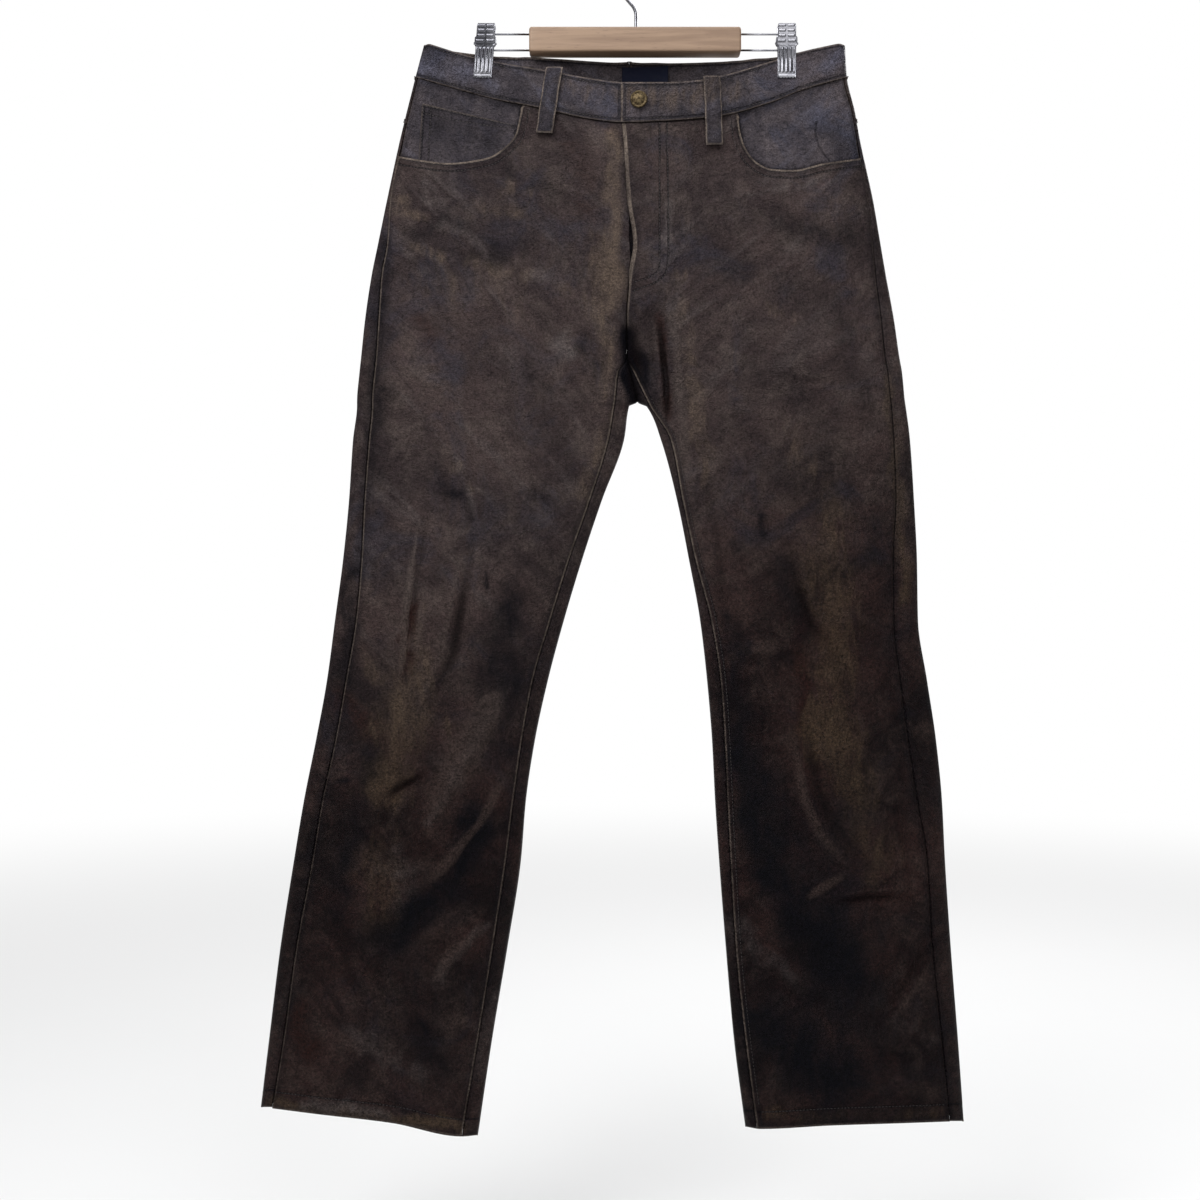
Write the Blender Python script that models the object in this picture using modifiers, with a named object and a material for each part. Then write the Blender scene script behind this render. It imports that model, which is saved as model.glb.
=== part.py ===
"""Leather five-pocket trousers hanging by the waistband from a wooden clip hanger.

Sizes are in millimetres up to the mesh, which is in metres. The origin is the inner top of the
hanger's hook, where a rail carries it. +X is the viewer's right, +Z is up, the front faces -Y.
"Right" and "left" are the wearer's, so the right leg is at -X.

The cloth is described by two numbers at each place, `x` across and `down` below the hook, and by
the depth at which it stands in front of or behind the middle plane.
"""
import math

import bmesh
import bpy
import numpy as np

MM = 0.001

# ---------------------------------------------------------------- driving dimensions, in mm
HIDE = 1.6                 # one layer of leather
BAND_THICKNESS = 3.0       # the waistband is two layers
FACING_THICKNESS = 1.2
PATCH_THICKNESS = 1.4
LOOP_THICKNESS = 2.6
LOOP_WIDTH = 15.5
LABEL_THICKNESS = 0.8
SEAM = 0.3                 # space left between two pieces at a seam
ROUND_SEAM = 0.8           # the same where a seam runs close to a fold
LAY = 0.8                  # space under a piece that lies on another
UNDER = 0.5                # space over a piece that lies beneath another

# The lengths in the tables are as they look from this far in front of the middle plane, so what
# stands nearer is drawn in towards the line of sight.
SIGHT = 1600.0
SIGHT_X = -36.0
SIGHT_DOWN = 644.0

CENTRE_X = -6.0            # middle of the hips
FLY_X = -13.5              # where the waistband's two ends meet
FORK_TOP = 344.0           # the front starts to divide into legs here
FORK = 402.0               # front seam and both inseams meet
CROTCH = 446.0             # lowest point of the seat seam
CROTCH_TURN = 449.0        # the legs' inner edges start here
HEM_LEVEL = 1165.0         # where the width of the hem is measured
CORNER_TOP = 86.0          # the waistband's upper and lower edges at its corner folds
CORNER_SEAM = 121.0
HOLD_DROP = 115.0          # the waist's pinched shape is gone this far below the band
LENS_POWER = 2.4           # roundness of a section's edges

CLIP_X = 151.0             # from the hook's plumb line to the middle of each clip
CLIP_FLAT = 14.0           # half the width pinched flat at a clip
PINCH = BAND_THICKNESS + 0.35
FRONT_BOW = 21.0           # how far the front of the waist bows out between the clips
BACK_BOW = 16.0
LOOP_BOW = 4.5             # fullness of the little loop outside each clip
CORNER_ROUND = 7.0
OVERLAP = 2.4              # the left half laps over the right one at the fly
OVERLAP_REACH = 30.0

# ---------------------------------------------------------------- tables, in mm
SECTION_COLUMNS = ("down", "outer", "outseam", "inseam", "inner")
# A row for each height. Above the fork, "inseam" is the front seam and "inner" the back seam.
SECTIONS = {
    "right": (
        (86, -212, -211, -13.5, -6),
        (121, -220.5, -219, -13.5, -6),
        (184, -236, -234, -10.5, -6),
        (244, -249, -246, -6.5, -6),
        (288, -258, -249, -0.5, -6),
        (320, -264.5, -254.5, -5.5, -6),
        (364, -271, -257.5, -9, -7),
        (402, -275, -260, -9, -9),
        (416, -276.5, -261.5, -17.5, -5.5),
        (446, -279, -264, -21, 1.5),
        (449, -279, -264, -21.5, -6.5),
        (484, -283, -267, -27.5, -12),
        (544, -287, -271.5, -46, -34),
        (604, -293, -274.5, -67, -54),
        (664, -301, -280, -85.5, -72),
        (724, -309, -290, -103, -88),
        (784, -320, -300.5, -114, -101),
        (844, -332, -313.5, -122.5, -110),
        (904, -342, -323.5, -130, -115),
        (994, -356, -340, -143.5, -129),
        (1084, -367, -352.5, -158, -144),
        (1182, -379, -369, -174.5, -158.5),
    ),
    "left": (
        (86, 209, 208, -13.5, -6),
        (121, 211, 208.5, -13.5, -6),
        (156, 219, 217, -13, -6),
        (184, 224, 222, -10.5, -6),
        (244, 237, 232.5, -6.5, -6),
        (288, 244.5, 237, -0.5, -6),
        (320, 250, 239.5, -5.5, -6),
        (364, 258, 245, -9, -7),
        (402, 263.5, 249, -9, -9),
        (416, 266, 251.5, -2.5, -5.5),
        (446, 269, 254.5, 12, 1.5),
        (449, 269.5, 255, 13.5, 9.5),
        (484, 274, 257.5, 34.7, 25),
        (544, 278, 259.6, 46.6, 41),
        (604, 281, 257, 59.5, 53),
        (664, 282, 257.5, 75, 64),
        (724, 291, 264, 84.5, 71),
        (784, 300, 272, 88.8, 76),
        (844, 306, 281, 91.5, 79),
        (904, 309, 291, 94.5, 83),
        (994, 315, 296.5, 100, 90),
        (1084, 322, 306, 109.5, 98),
        (1176, 328.5, 315, 121.5, 110),
    ),
}

DEPTH_COLUMNS = ("down", "front", "back")
DEPTHS = (
    (86, 20, 17),
    (166, 22, 21),
    (250, 24, 28),
    (350, 24, 32),
    (446, 22, 27),
    (560, 21, 23),
    (700, 20, 21),
    (900, 18, 18),
    (1180, 17, 17),
)

WAIST_COLUMNS = ("along", "front_top", "front_seam", "back_top", "back_seam")
# "along" is -1 at the right corner, 0 at the fly and 1 at the left corner.
WAIST = (
    (-1.0, 86, 121, 86, 121),
    (-0.77, 100, 134.5, 96, 133),
    (-0.63, 106, 142.5, 99, 137),
    (-0.39, 114, 152, 97, 135.5),
    (-0.15, 122.5, 163, 95, 133.5),
    (0.0, 126, 166, 93.5, 132),
    (0.2, 126, 164.5, 96, 134.5),
    (0.35, 124, 162, 99, 137.5),
    (0.46, 119, 159, 101, 139.5),
    (0.68, 104.5, 145, 99.5, 138),
    (0.80, 96, 134, 94, 131.5),
    (1.0, 86, 121, 86, 121),
)

# Pocket edges as (x, down), from the waistband round to the outseam.
SCOOPS = {
    "right": ((-114, 150), (-117, 164), (-120, 177), (-131, 191), (-150, 202), (-188, 207),
              (-215, 204), (-239, 200)),
    "left": ((102, 160), (104, 173), (108, 188), (117, 203), (134, 213), (158, 213),
             (190, 205), (227, 202)),
}

# The hem's height across each leg, from the outer edge (0) to the inner one (1).
HEM_COLUMNS = ("across", "right", "left")
HEM = (
    (0.0, 1151, 1165),
    (0.25, 1158, 1167),
    (0.6, 1167, 1169.5),
    (0.93, 1180.5, 1173),
    (1.0, 1179, 1170.5),
)

# Largest folds: both ends, half width and height (below zero for a trough), on the front or back.
FOLD_COLUMNS = ("face", "x0", "down0", "x1", "down1", "width", "height")
FOLDS = (
    ("front", 12, 340, 33, 470, 11, -6.0),
    ("front", 34, 330, 60, 560, 20, 3.0),
    ("front", -219, 612, -226, 715, 12, 3.0),
    ("front", -172, 618, -190, 705, 12, -2.5),
    ("front", -139, 735, -208, 865, 20, 3.5),
    ("front", -250, 842, -212, 818, 9, -3.0),
    ("front", -170, 900, -240, 1000, 28, 3.0),
    ("front", 158, 632, 194, 690, 16, -3.0),
    ("front", 199, 942, 268, 946, 10, -3.5),
    ("front", 130, 955, 200, 1020, 26, -3.0),
    ("front", -85, 185, -35, 250, 16, -3.0),
    ("back", -90, 400, -210, 440, 14, -4.0),
    ("back", 70, 400, 200, 436, 14, -4.0),
    ("back", -150, 720, -260, 760, 16, -4.0),
    ("back", 120, 715, 240, 745, 16, -4.0),
    ("back", -180, 880, -300, 960, 24, 3.0),
    ("back", 130, 900, 270, 960, 24, 3.0),
)

# Rows of the panels as fractions of the way down to the crotch and on to the hem.
UPPER_ROWS = (0.0, 0.05, 0.14, 0.26, 0.40, 0.55, 0.70)
LEG_ROWS = (0.0, 0.05, 0.13, 0.21, 0.29, 0.37, 0.46, 0.55, 0.65, 0.77, 0.89, 1.0)
FORK_ROWS = (FORK, 416.0, CROTCH)
FRONT_COLUMNS = 12
SCOOP_START_COLUMN = 5
WRAP_COLUMNS = 3
BACK_COLUMNS = 12
FLAP_COLUMNS = 3

YOKE_SIDE = 166.0          # the yoke seam at the outseam, then at the centre back
YOKE_CENTRE = 200.0

FACING_TUCK = 10.0         # how far a facing runs on under the front panel
FACING_INSET = 1.2         # its distance from the outseam
FACING_DROP = 2.5          # its top edge falls away from the waistband by this at the outseam
COIN_MOUTH = ((-213.5, 147.5), (-122.5, 169.0))   # the coin pocket's mouth, end to end
COIN_FOOT = (0.87, 0.21)   # where it meets the pocket's edge, as shares of the way along that
COIN_INSET = 1.5
COIN_LIFT = 0.4            # how far it stands above the facing's own level
SHIELD_DOWN = (168.0, 330.0)
SHIELD_ACROSS = (-16.0, 20.0)
POCKET_TOP_WIDTH, POCKET_FOOT_WIDTH = 146.0, 126.0   # the patch pockets on the back
POCKET_SIDE, POCKET_POINT = 148.0, 20.0
POCKET_MIDDLE = 116.0      # from the middle of the hips
POCKET_TOP = 222.0
POCKET_SLOPE = 8.0         # its top rises by this towards the outseam
LOOP_LAY = 0.9             # space under a belt loop
LABEL_X = (-13.5, 33.3)
LABEL_DOWN = (101.0, 125.0)
BUTTON_PLACE = (2.8, 144.0)
BUTTON_LIFT = 1.0

LOOP_COLUMNS = ("name", "side", "face", "top_x", "top_down", "foot_x", "foot_down")
LOOPS = (
    ("front_right", "right", "front", -81.0, 114.0, -91.0, 177.0),
    ("front_left", "left", "front", 75.0, 123.0, 77.5, 189.0),
    ("back_right", "right", "back", -104.0, 99.0, -104.0, 163.0),
    ("back_left", "left", "back", 92.0, 101.0, 92.0, 165.0),
    ("back_centre", "left", "back", 2.0, 96.0, 2.0, 160.0),
)

LEATHER = (0.045, 0.031, 0.027)
LEATHER_GREY = (0.050, 0.042, 0.042)
WOOD = (0.41, 0.27, 0.18)
CHROME = (0.62, 0.62, 0.64)
BRASS = (0.23, 0.16, 0.08)
NAVY = (0.012, 0.015, 0.035)


# ---------------------------------------------------------------- curves and fields
def smooth_through(known, values, at):
    """The value at `at` on a monotone cubic curve through the known places and values."""
    known = np.asarray(known, float)
    values = np.asarray(values, float)
    at = np.asarray(at, float)
    step = np.diff(known)
    slope = np.diff(values) / step
    total = slope[:-1] + slope[1:]
    turning = slope[:-1] * slope[1:] <= 0.0
    inner = np.where(turning, 0.0, 2.0 * slope[:-1] * slope[1:] / np.where(turning, 1.0, total))
    tangent = np.concatenate((slope[:1], inner, slope[-1:]))
    piece = np.clip(np.searchsorted(known, at, side="right") - 1, 0, len(step) - 1)
    t = np.clip((at - known[piece]) / step[piece], 0.0, 1.0)
    start = values[piece] * (1 + 2 * t) * (1 - t) ** 2
    end = values[piece + 1] * t ** 2 * (3 - 2 * t)
    leave = tangent[piece] * step[piece] * t * (1 - t) ** 2
    arrive = tangent[piece + 1] * step[piece] * t ** 2 * (t - 1)
    return start + end + leave + arrive


def column(table, names, name):
    """One named column of a table of rows."""
    return [row[names.index(name)] for row in table]


def section(side, name, down):
    """Where a named line of the leg runs at a height."""
    table = SECTIONS[side]
    known = column(table, SECTION_COLUMNS, "down")
    return smooth_through(known, column(table, SECTION_COLUMNS, name), down)


def waist_line(name, along):
    """Height of a named edge of the waistband at a place along it."""
    return smooth_through(column(WAIST, WAIST_COLUMNS, "along"),
                          column(WAIST, WAIST_COLUMNS, name), along)


def ramp(low, high, value):
    """0 below low, 1 above high, and a smooth step between them."""
    t = np.clip((value - low) / (high - low), 0.0, 1.0)
    return t * t * (3 - 2 * t)


def lens(across):
    """A section's depth as a fraction of its greatest, from -1 to 1 across it."""
    return np.clip(1 - np.abs(across) ** LENS_POWER, 0.0, 1.0) ** (1 / LENS_POWER)


def fold_relief(face, x, down):
    """Height of the folds at a place: a bell across each fold, tapering to its ends."""
    relief = np.zeros(np.broadcast(x, down).shape)
    for row in FOLDS:
        fold = dict(zip(FOLD_COLUMNS, row))
        if fold["face"] != face:
            continue
        run_x, run_down = fold["x1"] - fold["x0"], fold["down1"] - fold["down0"]
        length = math.hypot(run_x, run_down)
        from_x, from_down = x - fold["x0"], down - fold["down0"]
        along = (from_x * run_x + from_down * run_down) / length ** 2
        off = (from_x * run_down - from_down * run_x) / length
        past = (np.clip(along, 0.0, 1.0) - along) * length
        taper = 0.35 + 0.65 * np.sin(math.pi * np.clip(along, 0.0, 1.0))
        bell = np.exp(-(off ** 2 + past ** 2) / fold["width"] ** 2)
        relief = relief + fold["height"] * taper * bell
    return relief


def waist_depth(x, outer, bow):
    """Half-depth of the waist opening: flat under the clips, bowed between them, and a narrow
    loop outside each, closed by a round fold at the corner."""
    reach = CLIP_X - CLIP_FLAT
    between = np.clip((x + reach) / (2 * reach), 0.0, 1.0)
    bowed = PINCH + bow * 0.5 * (1 - np.cos(2 * math.pi * between))
    edge = np.abs(outer)
    past_clip = np.clip((np.abs(x) - CLIP_X - CLIP_FLAT) / (edge - CLIP_X - CLIP_FLAT), 0.0, 1.0)
    looped = LOOP_BOW * np.sin(0.5 * math.pi * past_clip) ** 2
    into_round = np.clip((np.abs(x) - edge + CORNER_ROUND) / CORNER_ROUND, 0.0, 1.0)
    return (bowed + looped) * np.sqrt(1 - into_round ** 2)


def cloth_depth(side, face, x, down):
    """How far the cloth stands from the middle plane, on the front or the back."""
    outer = section(side, "outer", down)
    inner = section(side, "inner", down)
    full = smooth_through(column(DEPTHS, DEPTH_COLUMNS, "down"),
                          column(DEPTHS, DEPTH_COLUMNS, face), down)
    over_hips = lens((x - CENTRE_X) / (outer - CENTRE_X))
    over_leg = lens((2 * x - outer - inner) / (outer - inner))
    fork_start = FORK_TOP if face == "front" else FORK_TOP + 26
    divided = ramp(fork_start, CROTCH, down)
    body = full * (over_hips * (1 - divided) + over_leg * divided)
    bow = FRONT_BOW if face == "front" else BACK_BOW
    waist = waist_depth(x, outer, bow)
    along = (x - FLY_X) / np.abs(outer - FLY_X)
    held = 1 - ramp(0.0, HOLD_DROP, down - waist_line(face + "_seam", along))
    depth = waist * held + body * (1 - held)
    edge_fade = (over_hips * (1 - divided) + over_leg * divided) ** 2
    depth = depth + fold_relief(face, x, down) * edge_fade
    if side == "left" and face == "front":
        from_fly = (x - section(side, "inseam", down)) / OVERLAP_REACH
        depth = depth + OVERLAP * np.exp(-from_fly ** 2) * (1 - ramp(300.0, 360.0, down))
    return depth


def placed(x, down, depth, face):
    """Points in mm from the tables' numbers, drawn in towards the line of sight."""
    scale = 1 - depth / SIGHT
    sign = -1.0 if face == "front" else 1.0
    return np.stack((SIGHT_X + (x - SIGHT_X) * scale, sign * depth,
                     -(SIGHT_DOWN + (down - SIGHT_DOWN) * scale)), axis=-1)


def on_cloth(side, face, x, down):
    """Points on the outer face of the cloth."""
    x, down = np.broadcast_arrays(np.asarray(x, float), np.asarray(down, float))
    return placed(x, down, cloth_depth(side, face, x, down), face)


def outward(side):
    """+1 where a grid's columns run towards -X on the front, -1 where they run towards +X."""
    return 1.0 if side == "right" else -1.0


def moved(grid, distance, turn):
    """A grid of points moved out along its own normals."""
    across = np.gradient(grid, axis=1)
    downward = np.gradient(grid, axis=0)
    normal = np.cross(across, downward) * turn
    normal /= np.linalg.norm(normal, axis=-1, keepdims=True)
    return grid + normal * distance


# ---------------------------------------------------------------- panels as grids of points
def sideways(side):
    """+1 for the left half, -1 for the right: the way from the middle to the outseam."""
    return 1.0 if side == "left" else -1.0


def hem_height(side, x):
    """Height of the hem at x, by its place across the leg."""
    outer = section(side, "outer", HEM_LEVEL)
    inner = section(side, "inner", HEM_LEVEL)
    across = np.clip((x - outer) / (inner - outer), 0.0, 1.0)
    return smooth_through(column(HEM, HEM_COLUMNS, "across"),
                          column(HEM, HEM_COLUMNS, side), across)


def scoop(side, share):
    """Point (x, down) on a pocket's edge, a share of the way along it."""
    points = np.array(SCOOPS[side], float)
    steps = np.hypot(*np.diff(points, axis=0).T)
    along = np.concatenate(((0.0,), np.cumsum(steps))) / steps.sum()
    return (smooth_through(along, points[:, 0], share),
            smooth_through(along, points[:, 1], share))


def front_top(side):
    """Top edge of a front panel: along the waistband, then round the pocket's scoop."""
    scoop_x, scoop_down = scoop(side, np.linspace(0, 1, FRONT_COLUMNS + 1 - SCOOP_START_COLUMN))
    seam_x = np.linspace(FLY_X + SEAM * sideways(side), scoop_x[0], SCOOP_START_COLUMN + 1)[:-1]
    outer = section(side, "outer", CORNER_SEAM)
    along = (seam_x - FLY_X) / np.abs(outer - FLY_X)
    seam_down = waist_line("front_seam", along) + SEAM
    return np.concatenate((seam_x, scoop_x)), np.concatenate((seam_down, scoop_down))


def panel_heights(top, hem):
    """Heights of a panel's points: rows from its top edge to the crotch, and on to the hem."""
    upper = np.array(UPPER_ROWS)[:, None]
    seam_top = top[0]
    forks = (np.array(FORK_ROWS)[:, None] - seam_top) / (CROTCH - seam_top)
    shares = np.concatenate((upper, forks))
    above = top + (CROTCH - top) * shares
    below = CROTCH_TURN + (hem - CROTCH_TURN) * np.array(LEG_ROWS)[:, None]
    return np.concatenate((above, below)), np.concatenate((shares, np.ones((len(LEG_ROWS), 1))))


def front_gap(down):
    """Space at a front panel's inner seam, wider where three pieces meet at the fork."""
    return SEAM + (ROUND_SEAM + SEAM) * np.exp(-((down - FORK) / 14.0) ** 2)


def front_panel(side):
    """A front panel, from the fly and inseam out to the outseam."""
    way = sideways(side)
    top_x, top_down = front_top(side)
    even = np.linspace(0, 1, FRONT_COLUMNS + 1)
    start = section(side, "inseam", top_down) + front_gap(top_down) * way
    end = section(side, "outseam", top_down) - ROUND_SEAM * way
    top_share = np.clip((top_x - start) / (end - start), 0.0, 1.0)
    bottom_start = section(side, "inseam", HEM_LEVEL)
    bottom_end = section(side, "outseam", HEM_LEVEL)
    hem = hem_height(side, bottom_start + (bottom_end - bottom_start) * even)
    down, progress = panel_heights(top_down, hem)
    share = top_share + (even - top_share) * progress
    start = section(side, "inseam", down) + front_gap(down) * way
    end = section(side, "outseam", down) - ROUND_SEAM * way
    return on_cloth(side, "front", start + (end - start) * share, down)


def back_columns(side, down, share_of_wrap, share_of_back):
    """Points round the back: from the outseam over the outer fold and across to the middle."""
    way = sideways(side)
    outer = section(side, "outer", down[:, :WRAP_COLUMNS])
    outseam = section(side, "outseam", down[:, :WRAP_COLUMNS]) + SEAM * way
    wrap_x = outseam + (outer - outseam) * share_of_wrap
    wrap = on_cloth(side, "front", wrap_x, down[:, :WRAP_COLUMNS])
    outer = section(side, "outer", down[:, WRAP_COLUMNS:])
    inner = section(side, "inner", down[:, WRAP_COLUMNS:])
    inner = inner + 0.5 * SEAM * way * (down[:, WRAP_COLUMNS:] <= CROTCH)
    back = on_cloth(side, "back", outer + (inner - outer) * share_of_back,
                    down[:, WRAP_COLUMNS:])
    return np.concatenate((wrap, back), axis=1)


def back_shares():
    """Column places: closer together towards the folds at the edges."""
    wrap = np.sin(0.5 * math.pi * np.arange(WRAP_COLUMNS) / WRAP_COLUMNS)
    back = 0.5 * (1 - np.cos(math.pi * np.arange(BACK_COLUMNS + 1) / BACK_COLUMNS))
    return wrap, back


def yoke_seam():
    """Height of the yoke's lower seam at each column of the back."""
    wrap, back = back_shares()
    return np.concatenate((np.full(len(wrap), YOKE_SIDE),
                           YOKE_SIDE + (YOKE_CENTRE - YOKE_SIDE) * back))


def back_panel(side):
    """A back panel below the yoke, and its flap that comes round the inner fold to the
    inseam. The two are joined below the crotch and open above it, where the seat seam runs."""
    wrap, back = back_shares()
    reach = np.concatenate((np.zeros(len(wrap)), back))
    outer = section(side, "outer", HEM_LEVEL)
    inner = section(side, "inner", HEM_LEVEL)
    hem = hem_height(side, outer + (inner - outer) * reach)
    down, _ = panel_heights(yoke_seam() + SEAM, hem)
    main = back_columns(side, down, wrap, back)
    share = np.linspace(0, 1, FLAP_COLUMNS + 1)
    bottom_inseam = section(side, "inseam", HEM_LEVEL)
    flap_hem = hem_height(side, inner + (bottom_inseam - inner) * share)
    leg = CROTCH_TURN + (flap_hem - CROTCH_TURN) * np.array(LEG_ROWS)[:, None]
    fork = np.repeat(np.array(FORK_ROWS)[:, None], FLAP_COLUMNS + 1, axis=1)
    down = np.concatenate((fork, leg))
    way = sideways(side)
    start = section(side, "inner", down) + 0.5 * SEAM * way * (down <= CROTCH)
    end = section(side, "inseam", down) - np.where(down <= CROTCH, ROUND_SEAM, SEAM) * way
    end = np.where(down <= FORK, start, end)
    flap = on_cloth(side, "front", start + (end - start) * share, down)
    return main, flap


def yoke(side):
    """The yoke between the waistband and the back panel."""
    wrap, back = back_shares()
    corner = waist_line("front_seam", sideways(side))
    seam = waist_line("back_seam", sideways(side) * (1 - back))
    top = np.concatenate((np.full(len(wrap), corner), seam)) + 3 * SEAM
    rows = np.linspace(0, 1, 4)[:, None]
    down = top + (yoke_seam() - top) * rows
    return back_columns(side, down, wrap, back)


def waistband(side):
    """Half the waistband: from the fly along the front, round the corner fold to the back."""
    way = sideways(side)
    outer_top = section(side, "outer", CORNER_TOP)
    width = abs(outer_top - FLY_X)
    clip_in = abs(way * (CLIP_X - CLIP_FLAT) - FLY_X) / width
    clip_out = abs(way * (CLIP_X + CLIP_FLAT) - FLY_X) / width
    rest = 1 - clip_out
    front_share = np.concatenate((np.linspace(0, clip_in, 8), (0.5 * (clip_in + clip_out),),
                                  clip_out + rest * np.array((0.0, 0.35, 0.65, 0.85, 0.95))))
    back_share = np.concatenate((1 - rest * np.array((0.0, 0.05, 0.15, 0.35, 0.65, 1.0)),
                                 (0.5 * (clip_in + clip_out),), np.linspace(clip_in, 0, 8)))
    level = np.array((0.0, 0.5, 1.0))[:, None]
    corner = CORNER_TOP + (CORNER_SEAM - CORNER_TOP) * level
    outer = section(side, "outer", corner)

    def height(face, share):
        top = waist_line(face + "_top", share * way)
        seam = waist_line(face + "_seam", share * way)
        return top + (seam - top) * level

    start = FLY_X + 0.5 * SEAM * way
    front_x = start + (outer - start) * front_share
    front_down = height("front", front_share)
    middle = CENTRE_X + 0.5 * SEAM * way
    back_x = middle + (outer - middle) * back_share
    back_down = height("back", back_share)
    front = placed(front_x, front_down, band_depth(side, "front", front_x, outer), "front")
    back = placed(back_x, back_down, band_depth(side, "back", back_x, outer), "back")
    return np.concatenate((front, back), axis=1)


def band_depth(side, face, x, outer):
    """Half-depth along the waistband, with the left end lapped over the right one."""
    depth = waist_depth(x, outer, FRONT_BOW if face == "front" else BACK_BOW)
    if side == "left" and face == "front":
        depth = depth + OVERLAP * np.exp(-((x - FLY_X) / OVERLAP_REACH) ** 2)
    return depth


def pocket_facing(side):
    """The hip piece seen above a pocket's edge, carried on under the front panel."""
    way = sideways(side)
    share = np.linspace(0, 1, 9)
    low_x, low_down = scoop(side, share)
    low_x = low_x - way * (FACING_TUCK * (1 - share) ** 2)
    low_down = low_down + FACING_TUCK
    low_down[0] = low_down[1]
    outer = section(side, "outer", CORNER_SEAM)
    high_x = low_x[0] + (section(side, "outseam", CORNER_SEAM) - low_x[0]) * share
    along = np.clip((high_x - FLY_X) / np.abs(outer - FLY_X), -1.0, 1.0)
    high_down = waist_line("front_seam", along) + SEAM + FACING_DROP * share ** 2
    level = np.linspace(0, 1, 5)[:, None]
    down = high_down + (low_down - high_down) * level
    x = high_x + (low_x - high_x) * level
    limit = section(side, "outseam", down[:, -1]) - way * FACING_INSET
    x = x + (limit - x[:, -1])[:, None] * share ** 2
    return moved(on_cloth(side, "front", x, down), -(HIDE + UNDER), outward(side))


def coin_pocket():
    """The small patch on the right facing, its mouth sloping down to the pocket's edge."""
    share = np.linspace(0, 1, 7)
    mouth_x = COIN_MOUTH[0][0] + (COIN_MOUTH[1][0] - COIN_MOUTH[0][0]) * share
    mouth_down = COIN_MOUTH[0][1] + (COIN_MOUTH[1][1] - COIN_MOUTH[0][1]) * share
    first, last = COIN_FOOT
    edge_x, edge_down = scoop("right", first + (last - first) * share)
    bottom_x = edge_x - COIN_INSET * share ** 2
    bottom_down = edge_down - COIN_INSET
    level = np.linspace(0, 1, 5)[:, None]
    x = mouth_x + (bottom_x - mouth_x) * level
    down = mouth_down + (bottom_down - mouth_down) * level
    return moved(on_cloth("right", "front", x, down), -(HIDE + UNDER - COIN_LIFT), -1.0)


def fly_shield():
    """The strip behind the fly that closes the gap between the two fronts."""
    down = np.linspace(*SHIELD_DOWN, 9)[:, None]
    across = np.linspace(*SHIELD_ACROSS, 5)
    x = section("right", "inseam", down) + across
    return moved(on_cloth("right", "front", x, down), -(HIDE + UNDER), -1.0)


def back_pocket(side):
    """A patch pocket on the seat, with a shallow point at the bottom."""
    way = sideways(side)
    share = np.linspace(0, 1, 7)
    level = np.linspace(0, 1, 7)[:, None]
    width = POCKET_TOP_WIDTH + (POCKET_FOOT_WIDTH - POCKET_TOP_WIDTH) * level
    x = CENTRE_X + way * (POCKET_MIDDLE + (share - 0.5) * width)
    top = POCKET_TOP - POCKET_SLOPE * share
    down = top + level * (POCKET_SIDE + POCKET_POINT * (1 - np.abs(2 * share - 1)))
    return moved(on_cloth(side, "back", x, down), LAY, -outward(side))


def belt_loop(side, face, top_x, top_down, foot_x, foot_down):
    """A strap lying down over the waistband and onto the cloth below it."""
    level = np.linspace(0, 1, 9)[:, None]
    across = LOOP_WIDTH * np.array((-0.5, 0.0, 0.5))
    x = top_x + (foot_x - top_x) * level + across
    down = top_down + (foot_down - top_down) * level + np.zeros(3)
    turn = -1.0 if face == "front" else 1.0
    return moved(on_cloth(side, face, x, down), LOOP_LAY, turn)


def label():
    """The bare label on the inner face of the back waistband."""
    x = np.linspace(*LABEL_X, 5)
    down = np.linspace(*LABEL_DOWN, 3)[:, None] + np.zeros(5)
    corner = section("left", "outer", CORNER_TOP)
    depth = waist_depth(x, corner, BACK_BOW) - BAND_THICKNESS - UNDER
    return placed(x + np.zeros((3, 1)), down, depth + np.zeros((3, 1)), "back")


# ---------------------------------------------------------------- making objects
def material(name, colour, roughness, metallic=0.0):
    """A plain shader of one colour."""
    made = bpy.data.materials.new(name)
    made.use_nodes = True
    shader = made.node_tree.nodes["Principled BSDF"]
    shader.inputs["Base Color"].default_value = (*colour, 1.0)
    shader.inputs["Roughness"].default_value = roughness
    shader.inputs["Metallic"].default_value = metallic
    return made


def add_object(name, mesh, collection, surface):
    """Puts a mesh into the collection as an object of its own."""
    mesh.materials.append(surface)
    made = bpy.data.objects.new(name, mesh)
    collection.objects.link(made)
    return made


def cloth_piece(name, grids, thickness, turned, collection, surface, outside=False):
    """A sheet through grids of points, given its thickness inwards, or outwards for a patch."""
    bm = bmesh.new()
    for grid in grids:
        rows, columns = grid.shape[:2]
        corners = [[bm.verts.new(tuple(grid[r, c] * MM)) for c in range(columns)]
                   for r in range(rows)]
        for r in range(rows - 1):
            for c in range(columns - 1):
                loop = [corners[r][c], corners[r][c + 1], corners[r + 1][c + 1], corners[r + 1][c]]
                bm.faces.new(reversed(loop) if turned else loop)
    bmesh.ops.remove_doubles(bm, verts=bm.verts, dist=0.00003)
    mesh = bpy.data.meshes.new(name)
    bm.to_mesh(mesh)
    bm.free()
    made = add_object(name, mesh, collection, surface)
    wall = made.modifiers.new("Wall", "SOLIDIFY")
    wall.thickness = thickness * MM
    wall.offset = 1.0 if outside else -1.0
    mesh.shade_smooth()
    return made


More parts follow.
